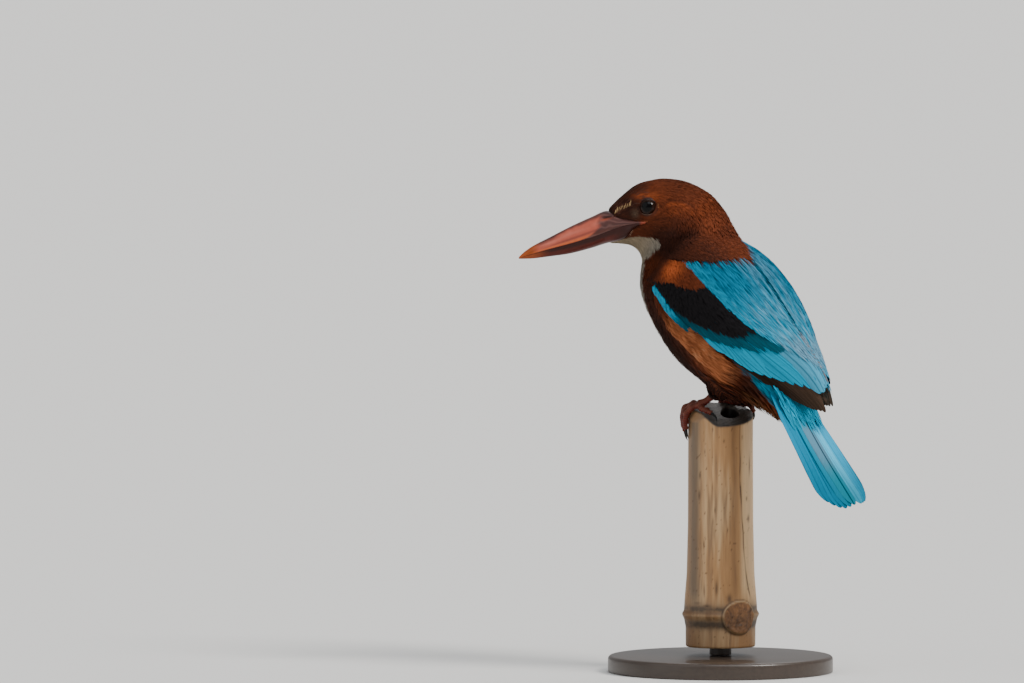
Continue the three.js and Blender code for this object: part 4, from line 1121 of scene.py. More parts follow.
def wingScatter(key, side, seed, chosen, slope=0.3):
    aLimits, bLimits, size, slim, rootLift, tipLift = coverts[key]
    calm = key == "scapular"
    draw = np.random.default_rng(seed)
    places = scatter(wingGround, aLimits, bLimits, lambda a: size, lambda a: slim, draw)
    length = size * draw.uniform(0.8, 1.2, len(places))
    turn = slope * ease(places[:, 1], 48, 84) + draw.normal(0, 0.05 if calm else 0.09, len(places))
    tips = tipsFrom(wingGround, places, length, turn)
    kept = chosen(*(places * 0.35 + tips * 0.65).T)
    places, tips, length, count = places[kept], tips[kept], length[kept], int(kept.sum())
    along, degrees = places.T
    width = slim * length * draw.uniform(0.85, 1.25, count)
    lift = np.c_[np.full(count, rootLift), tipLift + draw.uniform(-0.2, 0.15, count)]
    tint = wingTint(*(places * 0.4 + tips * 0.6).T, side) * (1 + draw.normal(0, 0.07 if calm else 0.1, (count, 1)))
    toward = None
    if key == "scapular":
        lift -= hill(places[:, 1:], 2)
        grey = (draw.uniform(0, 1, count) < 0.25) * ease(along, 20, 45)
        dark = (draw.uniform(0, 1, count) < 0.16) * (1 - ease(along, 30, 60))
        tint = painted(tint, palette, ("sheen", 0.5 * grey), (palette["slate"] * 0.5, 0.4 * dark))
    if key == "hood":
        # close to the neck these feathers take its colour and its light
        station, angle, bodyOut, away = nearestBody(onWing(*tips.T) * (1, side, 1))
        close = 1 - ease(away, 0, 10)
        toward = (bodyOut * (1, side, 1), 0.5 * close)
        light = (draw.uniform(0, 1, count) < 0.3) * (1 - ease(degrees, 20, 60))
        tint = painted(tint, palette, (bodyTint(station, angle), close), ("russet", 0.3 * light))
    if key == "bend":
        tint = mix(palette["cyan"], palette["teal"], ease(along, 10, 27)) * (1 + draw.normal(0, 0.12, (count, 1)))
    return layFeathers(wingGround, "strand", places, tips, width, lift, tint, seed, 0.12, rootShade=0.86, toward=toward)


def grooveShadowAndEdge(seed):
    # a painted shadow line of dark strands in the groove where the wings meet, with the inmost feathers' pinkish edge
    # behind it
    starts = np.linspace(2, 97, 36)
    roots = stack(starts, 1.6)
    colours = mix(palette["slate"] * 0.35, palette["pinkish"], 0.85 * ease(starts, 64, 70))
    lifts = stack(-0.6, 0.35 - 0.2 * (1 - ease(starts, 4, 12)))
    width = 0.6 * ease(starts, -6, 10)
    return layFeathers(wingGround, "strand", roots, roots + (6, 0), width, lifts, colours, seed, rootShade=0.9)


def wingBlocks(side, seed):
    brown, cyan, left = palette["brown"], palette["cyan"], side < 0
    nape, top, low, blueEdge = (wingLimits[key] for key in ("nape", "blackTop", "blackLow", "scapular"))
    nape = nape[side]
    # primaries paler from feather to feather; the far right wing's are painted lighter still, painted light against the
    # shade they stand in
    palerAndLit = mix(brown, brown * (3.5 if left else 8), np.linspace(0 if left else 0.4, 1, 8))
    flight = [
        wingRow("primaries", side, palerAndLit, bandShade(-1.2, 0.25, 0.1), seed, paleUnder=3.5),
        wingRow("secondaries", side, cyan * 1.15, bandShade(0.6, 0.5, 0.3, 0.06), seed + 1),
        wingRow("tertials", side, mix(cyan, palette["sheen"], 0.4), bandShade(0.3, 0.5, 0.2, 0.05), seed + 2),
    ]
    small = [
        wingRow("greater", side, palette["teal"], bandShade(0.2, 0.3, 0.4), seed + 3, "covert", 0.1),
        wingScatter("bend", side, seed + 8, lambda a, b: (b > 86.6) & (b < 91), 0),
        wingScatter("black", side, seed + 4,
                    lambda a, b: (b > top(a)) & (b < low(a)) & (b > blueEdge(a) - 6) & (a > nape(b) - 4)),
        wingScatter("lesser", side, seed + 5,
                    lambda a, b: (b <= top(a) + 1) & (b > blueEdge(a) - 3) & (a > nape(b) - 4)),
        wingScatter("hood", side, seed + 7, lambda a, b: a < nape(b) - 1, 0.15),
    ]
    scapular = wingScatter("scapular", side, seed + 6, lambda a, b: (b < blueEdge(a)) & (a > nape(b) - 2), 0.1)
    made = {"flight": flight, "coverts": small, "mantle": [scapular, grooveShadowAndEdge(seed)]}
    return {key: [mirrored(block) if left else block for block in blocks] for key, blocks in made.items()}


for side, sideName, seed in ((1, "right", 200), (-1, "left", 300)):
    for key, blocks in wingBlocks(side, seed).items():
        name = f"wing_{sideName}_{key}"
        material = softFeathers if key == "coverts" else blueFeathers
        replaced = ["wing_" + sideName] if key == "flight" else []
        keep(featherMesh(name, blocks), "feathers_" + name, material, "blue_plumage", *replaced)
print("wings laid")


# ---- tail
tailCoverts = {
    # limits along and to the side in mm, rise over the tail at the start and end, arch across, feather length
    "upper": ((-6, 24), (-14.5, 13), [(-6, 6.6), (12, 4.2), (34, 0.5)], 3.2, 12),
    "lower": ((2, 30), (-9.5, 9.5), [(2, -12.4), (30, -7.4)], -3, 14),
}


def tailRow(seed):
    # twelve feathers, the outer ones under the middle pair; those of its left side reach further
    sizes = tailSizes
    draw = np.random.default_rng(seed)
    blocks = []
    for side, pair in [(side, pair) for side in (-1, 1) for pair in range(5, -1, -1)]:
        inmost = (side, pair) == (-1, 0)
        end = sizes["ends"][side][pair] + draw.normal(0, 0.25)
        root = np.array([[0, side * (pair + 0.5) / 6 * sizes["rootHalf"][side]]])
        tip = np.array([[end, side * sizes["tipSides"][side][pair] + draw.normal(0, 0.15)]])
        lift = -sizes["step"] * (pair + (0.5 if side > 0 else 0))
        tint = np.array(sizes["tints"][side][min(pair, 2)])[None] * draw.uniform(0.92, 1.06)
        # a painted shadow line along each vane's outer edge, where it lies over the next feather
        band = bandShade(0.5, 0.95 if inmost else 0.3, 0.1, 0.05, 0.9)

        def shade(across, along):
            # deeper blue towards the tip; the inmost left feather keeps a greyish part on its middle
            greyish = between(along, 0.25, 0.4, 0.6, 0.8) if inmost else (side > 0) + 0 * along
            deeper = 1.25 - 0.75 * ease(along, 0.45, 0.98) if side > 0 else 1.05 - 0.5 * ease(along, 0.3, 0.95)
            value = band(side * across, along) * deeper[:, None]
            value[:, 0] *= 0.05 + 0.95 * greyish * (1 - 0.5 * ease(along, 0.5, 0.95))
            return value

        spot = np.array([[0.3 + 0.05 * side * (pair + 1), 1.2]])
        ground = {"surface": overTail(lambda a: 0 * a, 0, 10), "steps": (0.3, 0.3), "spot": lambda roots: spot}
        blocks.append(layFeathers(ground, "rectrix", root, tip, [sizes["width"]], np.array([[lift, lift]]), tint,
                                  seed + pair, 0.05, shade))
    return blocks


def tailScatter(key, colour, under, seed):
    aLimits, bLimits, rise, arch, size = tailCoverts[key]
    flat = overTail(straightTable(rise), arch, bLimits[1])
    ground = {"surface": (lambda a, b: flat(a, -b)) if under else flat, "steps": (0.3, 0.3),
              "spot": lambda roots: stack(roots[:, 1] / 100 + 0.6, roots[:, 0] / 100 + 1.3 + 0.5 * under)}
    draw = np.random.default_rng(seed)
    places = scatter(ground, aLimits, bLimits, lambda a: size, lambda a: 0.12, draw)
    places = places[places[:, 0] < aLimits[1] - (0 if under else 0.25) * np.maximum(places[:, 1], 0)]
    count = len(places)
    length = size * draw.uniform(0.55, 1.25, count)
    turn = draw.normal(0, 0.07, count)
    tips = places + np.c_[length * np.cos(turn), length * np.sin(turn)]
    lift = stack(-1, draw.uniform(-0.3, 0.2, count))
    tint = colour * (1 + draw.normal(0, 0.13, (count, 1)))
    width = 0.09 * size * draw.uniform(0.8, 1.2, count)
    return layFeathers(ground, "strand", places, tips, width, lift, tint, seed, 0.12, rootShade=0.86)


keep(featherMesh("tail_feathers", tailRow(400)), "feathers_tail", blueFeathers, "blue_plumage", "tail")
tailSmall = [tailScatter("upper", palette["cyan"] * 0.9, False, 420),
             tailScatter("lower", palette["orange"] * 0.8, True, 430)]
keep(featherMesh("tail_coverts", tailSmall), "feathers_tail_coverts", blueFeathers, "blue_plumage")
print("tail laid")


# ---- feathers of the thighs
def thighFeathers(side, seed):
    place = tubePlace(thighLine(side), lambda u, v: skinSizes["thighRadii"](v))[0]

    def surface(a, b):
        a, b = np.asarray(a, float), np.asarray(b, float)
        return place(b.ravel(), a.ravel()).reshape(*a.shape, 3)

    ground = {"surface": surface, "steps": (0.01, 0.01),
              "spot": lambda roots: roots * 0.3 + (1.5, 1.3 + 0.4 * (side == "left"))}
    draw = np.random.default_rng(seed)
    count = 1100
    roots = np.c_[draw.uniform(0.05, 0.9, count), draw.uniform(0, 1, count)]
    tips = roots + np.c_[draw.uniform(0.35, 0.55, count), draw.normal(0, 0.01, count)]
    tips[:, 0] = np.minimum(tips[:, 0], 0.97 + draw.uniform(0, 0.1, count))
    lift = stack(-0.3, 0.3 + draw.uniform(0, 2.2, count) * tips[:, 0])
    tint = mix(palette["umber"], palette["chestnut"], 0.6 * (draw.uniform(0, 1, count) < 0.3))
    return layFeathers(ground, "strand", roots, tips, draw.uniform(0.7, 1.1, count), lift, tint, seed)


thighs = [thighFeathers("left", 500), thighFeathers("right", 510)]
keep(featherMesh("thigh_feathers", thighs), "feathers_thighs", softFeathers, "chestnut_plumage")
# ---- bill
billTable = smoothTable([
    # x: heights over the rim of the culmen, the cut and the lower mandible's keel, half width
    (-116.2, 85.9, 85.3, 84.9, 0.5), (-113, 88.9, 86.4, 84.9, 1.1), (-108, 92.3, 87.9, 85.1, 1.9),
    (-100, 96.4, 90.2, 86.1, 3), (-88, 102.6, 93.4, 87.8, 4.6), (-76, 108.1, 97, 90.9, 6.3),
    (-67.5, 111.4, 100.2, 93.6, 7.9), (-60, 108.6, 102.9, 95.2, 10.3), (-56.5, 107.6, 103.8, 97, 11.8),
    (-53, 106.8, 104.6, 101.2, 13.2),
    (-46.4, 106.2, 105.5, 104.5, 15.2),
])
billSizes = {"from": -116.2, "to": -46.4, "gap": 0.05}
nostril = {"x": -67.4, "height": 108, "length": 4.4, "width": 1.2, "slope": 0.26, "deep": 1.1}
billColours = colourSet({
    "coral": (0.390, 0.082, 0.050), "pink": (0.460, 0.120, 0.082), "dusk": (0.042, 0.020, 0.019),
    "line": (0.160, 0.080, 0.070), "orange": (0.490, 0.105, 0.031), "tip": (0.300, 0.060, 0.010),
    "red": (0.320, 0.062, 0.030), "lower": (0.028, 0.004, 0.002), "deep": (0.080, 0.008, 0.003),
    "mouth": (0.030, 0.005, 0.004), "slit": (0.02, 0.006, 0.005),
})


def inNostril(x, height, long, wide):
    # 1 in the nostril's slit, on a scale of its length and width
    along = (x - nostril["x"]) / nostril["length"] * long
    across = (height - nostril["height"] - nostril["slope"] * (x - nostril["x"])) / nostril["width"] * wide
    return np.exp(-(along**4) - across**2)


def billPlace(upper):
    def place(u, v):
        x = billSizes["from"] + (billSizes["to"] - billSizes["from"]) * v
        culmen, mouth, keel, half = np.moveaxis(billTable(x), -1, 0)
        edge = mouth + (0.5 if upper else -0.5) * billSizes["gap"]
        height = culmen - edge if upper else keel - edge
        # round the outside for the first 0.8 of u, then back along the cut
        outside, around, back = u < 0.8, np.pi * np.clip(u / 0.8, 0, 1), (u - 0.8) / 0.2
        broad = ease(x, -70, -63)  # fuller where it meets the face
        side = np.where(outside, np.sign(np.cos(around)) * np.abs(np.cos(around)) ** (1 - 0.45 * broad), -1 + 2 * back)
        up = np.where(outside, np.sin(around) ** 1.12, 0.02 * np.sin(np.pi * back))
        up = np.where(outside, np.abs(up) ** (1 - 0.42 * broad), up)
        y, z = side * half, edge + height * up
        if upper:
            y = y - nostril["deep"] * inNostril(x, z, 1.5, 1.5) * outside * (np.abs(side) > 0.2) * np.sign(side)
        return turned(x, y, z)

    return place


def upperTint(x, height, share, points):
    # share is 0 at the cut and 1 at the culmen
    along = ripple(stack(0.16 * x, share * 5, np.sign(points[:, 1])), 0.9, 4)
    blotch = ripple(points, 2, 9)
    # the bare dusky base with paler lines that run to the gape
    lines = 0.5 + 0.5 * np.sin(23 * share + 1.5 * blotch + 0.25 * x)
    bare = mix(billColours["dusk"], billColours["line"], 0.5 * lines**3)
    border = -71 - 3 * (1 - share) - 12 * np.exp(-share / 0.1)
    return painted(
        billColours["coral"], billColours,
        # painted highlight: a pink band along the upper mandible's middle
        ("pink", ease(along, -0.5, 1) * hill(share - 0.55, 0.2)),
        ("dusk", 0.85 * ease(share + 0.05 * blotch, 0.74, 0.96)),
        ("dusk", 0.5 * hill(share - 0.26 + 0.03 * along, 0.07) * ease(x, -105, -92)),
        ("orange", 0.85 * (1 - ease(share, 0.1, 0.22))),
        ("mouth", 0.8 * (1 - ease(share, 0, 0.05)) * ease(x, -112, -106)),
        ("dusk", 0.6 * between(-x, 92, 99, 104, 109) * ease(share, 0.5, 0.8)),
        (billColours["tip"] * (1 + 0.3 * along)[:, None], ease(-x, 103, 110)),
        (bare, 0.92 * ease(x + 2 * along, border - 2, border + 3)),
        ("red", 0.85 * hill(x + 68.8, 3, height - 106.8 - 0.25 * (x + 69), 0.8)),
        ("slit", 0.95 * inNostril(x, height, 1.6, 1.9)),
    )


def lowerTint(x, height, share, points):
    # the lower mandible is painted far darker than the upper one: painted shade
    return painted(
        billColours["lower"], billColours,
        ("deep", ease(share, 0.25, 0.6) * (1 - 0.6 * ease(share, 0.86, 1)) * ease(-x, 57, 68)),
        ("dusk", 0.35 * ease(ripple(points, 2, 9), 0.4, 1.2) * ease(x, -72, -62)),
        ("tip", 0.85 * ease(-x, 98, 110) * ease(share, -0.1, 0.3)),
    )


def billTint(upper):
    def tint(u, v, points):
        x = billSizes["from"] + (billSizes["to"] - billSizes["from"]) * v
        culmen, mouth, keel, half = np.moveaxis(billTable(x), -1, 0)
        height = points[:, 2] - rim
        share = np.clip((height - mouth) / ((culmen if upper else keel) - mouth), 0, 1)
        colour = (upperTint if upper else lowerTint)(x, height, share, points)
        colour = mix(colour, billColours["red"], 0.9 * ease(x, -50.5, -47.5))  # the bare corner of the mouth
        return np.where(((u > 0.81) & (u < 0.99))[:, None], billColours["mouth"], colour)

    return tint


for name, above in (("bill_upper", True), ("bill_lower", False)):
    keep(wrap(name, 90, 190, billPlace(above), billTint(above)), name, hornFinish, "bill_horn", name)
print("bill made")


# ---- eyes and lids
lidSizes = {"bead": 0.36, "reach": 1.3, "warts": 0.07, "inside": 0.12}
eyeColours = colourSet({"iris": (0.014, 0.005, 0.0025), "pupil": (0.0005, 0.0004, 0.0004), "lid": (0.030, 0.012, 0.009),
                        "rim": (0.010, 0.005, 0.004), "lower": (0.150, 0.085, 0.060)})


def eyeFrame(side):
    # centre of the ball, and its outward, forward and upward directions in the head's frame
    out = unit(np.array([-math.sin(math.radians(14)), side * math.cos(math.radians(14)), math.sin(math.radians(7))]))
    ahead = unit(np.array([1, 0, 0]) - out * out[0])
    up = np.cross(out, ahead) * side
    return np.array([eyeSizes["x"], side * eyeSizes["side"], eyeSizes["height"]]), out, ahead, -up if up[2] < 0 else up


def makeEye(side):
    centre, out, ahead, up = eyeFrame(side)

    def directions(u, v):
        tilt, turn = np.pi * v, 2 * np.pi * u
        return (np.cos(tilt)[:, None] * out + (np.sin(tilt) * np.cos(turn))[:, None] * ahead
                + (np.sin(tilt) * np.sin(turn))[:, None] * up)

    def place(u, v):
        spot = centre + directions(u, v) * eyeSizes["radius"]
        return turned(*spot.T)

    def tint(u, v, points):
        away = eyeSizes["radius"] * np.sin(np.pi * v)
        pupil = eyeSizes["pupil"]
        colour = mix(eyeColours["pupil"], eyeColours["iris"], ease(away, pupil - 0.15, pupil + 0.15) * (v < 0.5))
        colour = mix(colour, eyeColours["pupil"], ease(away, 4.1, 4.8))
        return colour * (1 + 0.35 * np.sin(2 * np.pi * u * 37 + 3 * np.sin(v * 40)))[:, None].clip(0.6, 1.5)

    return wrap("eye", 64, 48, place, tint)


def makeLid(side):
    centre, out, ahead, up = eyeFrame(side)
    wide, high = eyeSizes["opening"]

    def place(u, v):
        turn, around = 2 * np.pi * v, 2 * np.pi * u
        edge = wide * high / np.hypot(high * np.cos(turn), wide * np.sin(turn))
        warts = lidSizes["warts"] * np.sin(turn * 30) * np.sin(around + 0.6) ** 2
        bead, reach, inside = lidSizes["bead"] + warts, lidSizes["reach"], lidSizes["inside"]
        # a flattened loop that slopes from the opening's edge outwards into the skin
        outward = reach * (1 - np.cos(around)) / 2
        radial = edge - inside + outward
        slope = np.sqrt(eyeSizes["radius"] ** 2 - edge**2) + inside - 0.95 * outward
        level = slope + bead * np.sin(around) * (1 - 0.5 * outward / reach)
        spot = centre + (radial * np.cos(turn))[:, None] * ahead + (radial * np.sin(turn))[:, None] * up
        return turned(*(spot + level[:, None] * out).T)

    def tint(u, v, points):
        inner = hill((u + 0.5) % 1 - 0.5, 0.07)
        edge = hill(u - 0.12, 0.06) * ease(-np.sin(2 * np.pi * v), 0.1, 0.7)
        colour = painted(eyeColours["lid"], eyeColours, ("rim", 0.9 * inner), ("lower", 0.8 * edge))
        return colour * (1 + 0.25 * np.sin(2 * np.pi * v * 60))[:, None]


    return wrap("lid", 28, 240, place, tint)


for side, sideName in ((1, "right"), (-1, "left")):
    keep(makeEye(side), "eyeball_" + sideName, eyeFinish, "eye_surface", "eye_" + sideName)
keep(joinMeshes("eyelids", [makeLid(1), makeLid(-1)]), "eyelids", scaleFinish, "leg_skin")
print("eyes made")


# ---- feet and claws
footColours = colourSet({"skin": (0.115, 0.014, 0.006), "edge": (0.036, 0.007, 0.004), "pad": (0.115, 0.028, 0.015),
                         "claw": (0.006, 0.005, 0.0045)})
scuteLength = 1.25


def toeLines(side):
    shape = legSizes[side]
    outer, beside = np.array(shape["outer"], float), np.array(shape["beside"], float)
    inner = outer + 2 * beside
    inner[4, 2] += 3
    return {"hind": np.array(shape["hind"], float), "outer": outer, "middle": outer + beside, "inner": inner}


def limb(name, line, radius, joints, across=40):
    points = [raised(p) for p in line]
    length = curveThrough(points, 60)[1]
    plates = round(length / scuteLength)

    def scutes(u, v):
        # how far a place lies on top, and 0 in the furrows between the plates
        top = ease(np.sin(2 * np.pi * u), -0.1, 0.5)
        return top, np.abs(np.sin(np.pi * (v * plates + 0.15 * np.sin(2 * np.pi * u)))) ** 0.6

    def thickness(u, v):
        top, grain = scutes(u, v)
        swell = np.cos(2 * np.pi * v * joints)
        closing = np.sqrt(np.clip(1 - (np.abs(2 * v - 1)) ** 26, 0, 1))  # rounded ends
        shape = (1 + 0.07 * swell) * (1 + 0.1 * (1 - top) * swell) * (1 - 0.11 * top * (1 - grain))
        return radius(v) * shape * closing

    def tint(u, v, points):
        top, grain = scutes(u, v)
        colour = mix(footColours["pad"], mix(footColours["edge"], footColours["skin"], grain), top)
        return colour * (1 + 0.25 * ripple(points, 1.4, 5))[:, None]

    return wrap(name, across, max(24, int(length / 0.16)), tubePlace(points, thickness)[0], tint)


def clawMesh(side, toe):
    line = toeLines(side)[toe]
    start = line[-1] - unit(line[-1] - line[-2]) * 1.1
    drops = [line[-1] + np.array(p) for p in legSizes[side]["clawDrop"]]
    ends = legSizes[side]["hindClaw"] if toe == "hind" else drops
    points = [raised(p) for p in [start, *np.array(ends, float)]]
    shape = straightTable([(0, 0.9), (0.12, 1.05), (0.4, 0.86), (0.75, 0.5), (1, 0.1)])

    def radius(u, v):
        closed = np.sqrt(np.clip(1 - (1 - np.clip(v * 9, 0, 1)) ** 2, 0, 1))
        return shape(v) * legSizes["clawRadius"] * closed * (1 - 0.18 * np.abs(np.cos(2 * np.pi * u)))

    return wrap("claw", 20, 40, tubePlace(points, radius)[0], footColours["claw"])


for side in ("left", "right"):
    radius, shank = legSizes["toeRadius"], legSizes["shankRadius"]
    parts = [limb(side + toe, line, lambda v: radius * (1.12 - 0.3 * v), len(line) - 1)
             for toe, line in toeLines(side).items()]
    shape = lambda v: shank * (1.08 - 0.14 * np.sin(np.pi * v))
    parts.append(limb(side + "shank", legSizes[side]["shank"], shape, 1, 48))
    keep(joinMeshes("foot_" + side, parts), "foot_skin_" + side, scaleFinish, "leg_skin", "foot_" + side)
    for toe in toeLines(side):
        keep(clawMesh(side, toe), f"claw_{side}_{toe}_horn", clawFinish, "claw_horn", f"claw_{side}_{toe}")
print("feet made")


# ---- the bamboo stem
stemSizes = {
    "wall": straightTable([(0, 18.8), (0.8, 19.2), (11, 19.3), (15.5, 20.2), (17.3, 21.1), (18, 21.25), (18.8, 20.9),
                           (20, 20.2), (25, 19.9), (40, 18.7), (68, 18), (128, 17.8), (140, 17.8)]),
    "cutSlope": math.radians(17), "cutFacing": math.radians(-50), "shoulder": 3.4, "shoulderFrom": -7.5,
    "shoulderSlope": math.radians(11), "bevelFacing": math.radians(-105), "bevelSlope": math.radians(65),
    "bevelFrom": 14.7, "bore": 6.4, "boreOffset": 5.2, "boreFacing": math.radians(40), "boreFloor": 12 - 40,
    "boreStretch": 1.9, "socket": 6.3, "socketTop": 13, "across": 240, "wallTop": 114, "foot": 18.8, "cutRadius": 17.45,
    # the round scar of a cut branch at the node: direction, height over the foot, half width and height, radius
    "scar": (math.radians(-19), 17, 10.2, 9, 20.9),
}
stemColours = colourSet({
    "straw": (0.370, 0.200, 0.085), "pale": (0.560, 0.380, 0.215), "grey": (0.130, 0.095, 0.066),
    "stain": (0.120, 0.055, 0.024), "crack": (0.030, 0.015, 0.009), "rim": (0.050, 0.042, 0.035),
    "bore": (0.016, 0.010, 0.007), "cut": (0.110, 0.086, 0.066), "fibre": (0.270, 0.125, 0.048),
    "deep": (0.075, 0.034, 0.015),
})


def cutHeight(x, y, worn=True):
    # height over the rim's middle of the sloping cut, the raised stub beside it and the stub's worn corner
    sizes = stemSizes
    along, beside = heading(x, y, sizes["cutFacing"])
    main = -math.tan(sizes["cutSlope"]) * along
    stub = sizes["shoulder"] / math.cos(sizes["shoulderSlope"]) - math.tan(sizes["shoulderSlope"]) * along
    height = stub + (main - stub) * ease(beside, sizes["shoulderFrom"] - 4, sizes["shoulderFrom"] + 6)
    if not worn:
        return height
    lean = math.pi / 2 - sizes["bevelSlope"]
    out = heading(x, y, sizes["bevelFacing"])[0]
    return np.minimum(height, (sizes["bevelFrom"] - math.cos(lean) * out) / math.sin(lean))


def scarPlace(angle, height):
    # 0 in the middle of the branch scar, 1 at its rim
    facing, middle, wide, high, level = stemSizes["scar"]
    turn = (angle - facing + np.pi) % (2 * np.pi) - np.pi
    return np.hypot(turn * level / wide, (height - middle) / high)


def stemRings():
    # the whole closed form as rings: up the socket's inside, out, up the wall, over the cut and down into the bore
    sizes = stemSizes
    angle = np.linspace(0, 2 * np.pi, sizes["across"] + 1)
    c, s = np.cos(angle), np.sin(angle)
    ring = lambda radius, height: stack(radius * c, radius * s, stemFoot + height)
    socket, socketTop, wallTop = sizes["socket"], sizes["socketTop"], sizes["wallTop"]
    rings = [ring(0, socketTop), ring(socket, socketTop), ring(socket, 0), ring(sizes["foot"], 0)]
    for height in np.r_[np.linspace(0.4, 24, 44), np.linspace(25, wallTop, 110)]:
        radius = float(sizes["wall"](height))
        wavy = 1 + 0.0035 * np.sin(angle * 3 + 1) + 0.002 * np.sin(angle * 11 + height / 40)
        far = scarPlace(angle, height)
        place = stack(20 * angle, height, 0)
        rough = 0.3 * ripple(place + 2 * ripple(place, 3.1, 24)[:, None], 1.1, 21)
        scar = (1 - ease(far, 0.9, 1.06)) * (sizes["scar"][4] - radius + rough) + 0.55 * hill(far - 1, 0.07)
        rings.append(ring(radius * wavy + scar, height))
    base, top = rings[-1], cutHeight(17.8 * c, 17.8 * s) + 128
    ragged = 0.35 * np.sin(angle * 7 + 2 * np.sin(angle * 3)) + 0.2 * np.sin(angle * 23)
    for share in np.linspace(0.15, 1, 9):
        height = (stemFoot + wallTop) * (1 - share) + (stemFoot + top - 0.35 + 0.3 * ragged * share) * share
        rings.append(stack(base[:, 0], base[:, 1], height))
    # the hollow is broken open towards the stem's far side
    facing, bore = sizes["boreFacing"], sizes["bore"]
    across, away = heading(c, s, facing)
    away = bore * away * np.where(away > 0, sizes["boreStretch"], 1)
    holeX, holeY = heading(0.8 * bore * across + sizes["boreOffset"], away, -facing)
    for share in np.r_[0, np.linspace(0.025, 1, 40)]:
        radius = sizes["cutRadius"] * (1 - share)
        x, y = radius * c + holeX * share, radius * s + holeY * share
        grain = 0.12 * ripple(stack(x, y, 0), 0.9, 3) * (0 < share < 1)
        rings.append(stack(x, y, rim + cutHeight(x, y) + grain))
    edge = cutHeight(holeX, holeY)
    for depth in np.linspace(0.06, 1, 16):
        rings.append(stack(holeX, holeY, rim + edge + (sizes["boreFloor"] - edge) * depth))
    centreX, centreY = heading(sizes["boreOffset"], 0, -facing)
    rings.append(stack(centreX, centreY, rim + sizes["boreFloor"] + 0 * angle))
    return np.array(rings)


rings = stemRings()
cracks = [
    # lines down the wall: millimetres to the right of the axis as seen from the cut's low side, and below the rim
    ([(3, 10.1), (-7, 10.1), (-38, 10.4), (-59, 11.6), (-84, 13.2), (-101, 16.1)], 0.30, 1),
    ([(0, -4.8), (-30, -5.2), (-70, -4.2), (-92, -5)], 0.16, 0.55),
    ([(-20, 2.2), (-60, 3), (-84, 2.4)], 0.12, 0.35),
    ([(-66, -11.2), (-88, -10.2), (-104, -11)], 0.16, 0.45),
    ([(-112, 5), (-130, 4.4)], 0.2, 0.5),
]
dashes = [
    # short dark marks: millimetres to the right and below the rim, half width, half height
    (-4.8, 7.7, 0.35, 1.2), (1.4, 14, 0.45, 1), (14.5, 3.5, 0.4, 1.2), (11.5, 12, 0.3, 0.8), (-9, 20, 0.3, 1.4),
    (-11.6, 33, 0.55, 2), (-12, 44, 0.5, 2.6), (10.6, 41.8, 0.4, 4), (15.6, 28, 0.35, 5), (-3.5, 52, 0.35, 1.6),
    (3.5, 63, 0.3, 1.2), (-9.5, 71, 0.4, 2.2), (-2.6, 95, 0.9, 4.6), (4.4, 100.6, 1.3, 2.6), (-9.3, 96.5, 0.4, 3.6),
    (-13, 103.4, 1.8, 0.5), (-8, 104.6, 2, 0.6), (15, 57, 0.6, 1.8), (14, 46, 0.4, 1.2),
]


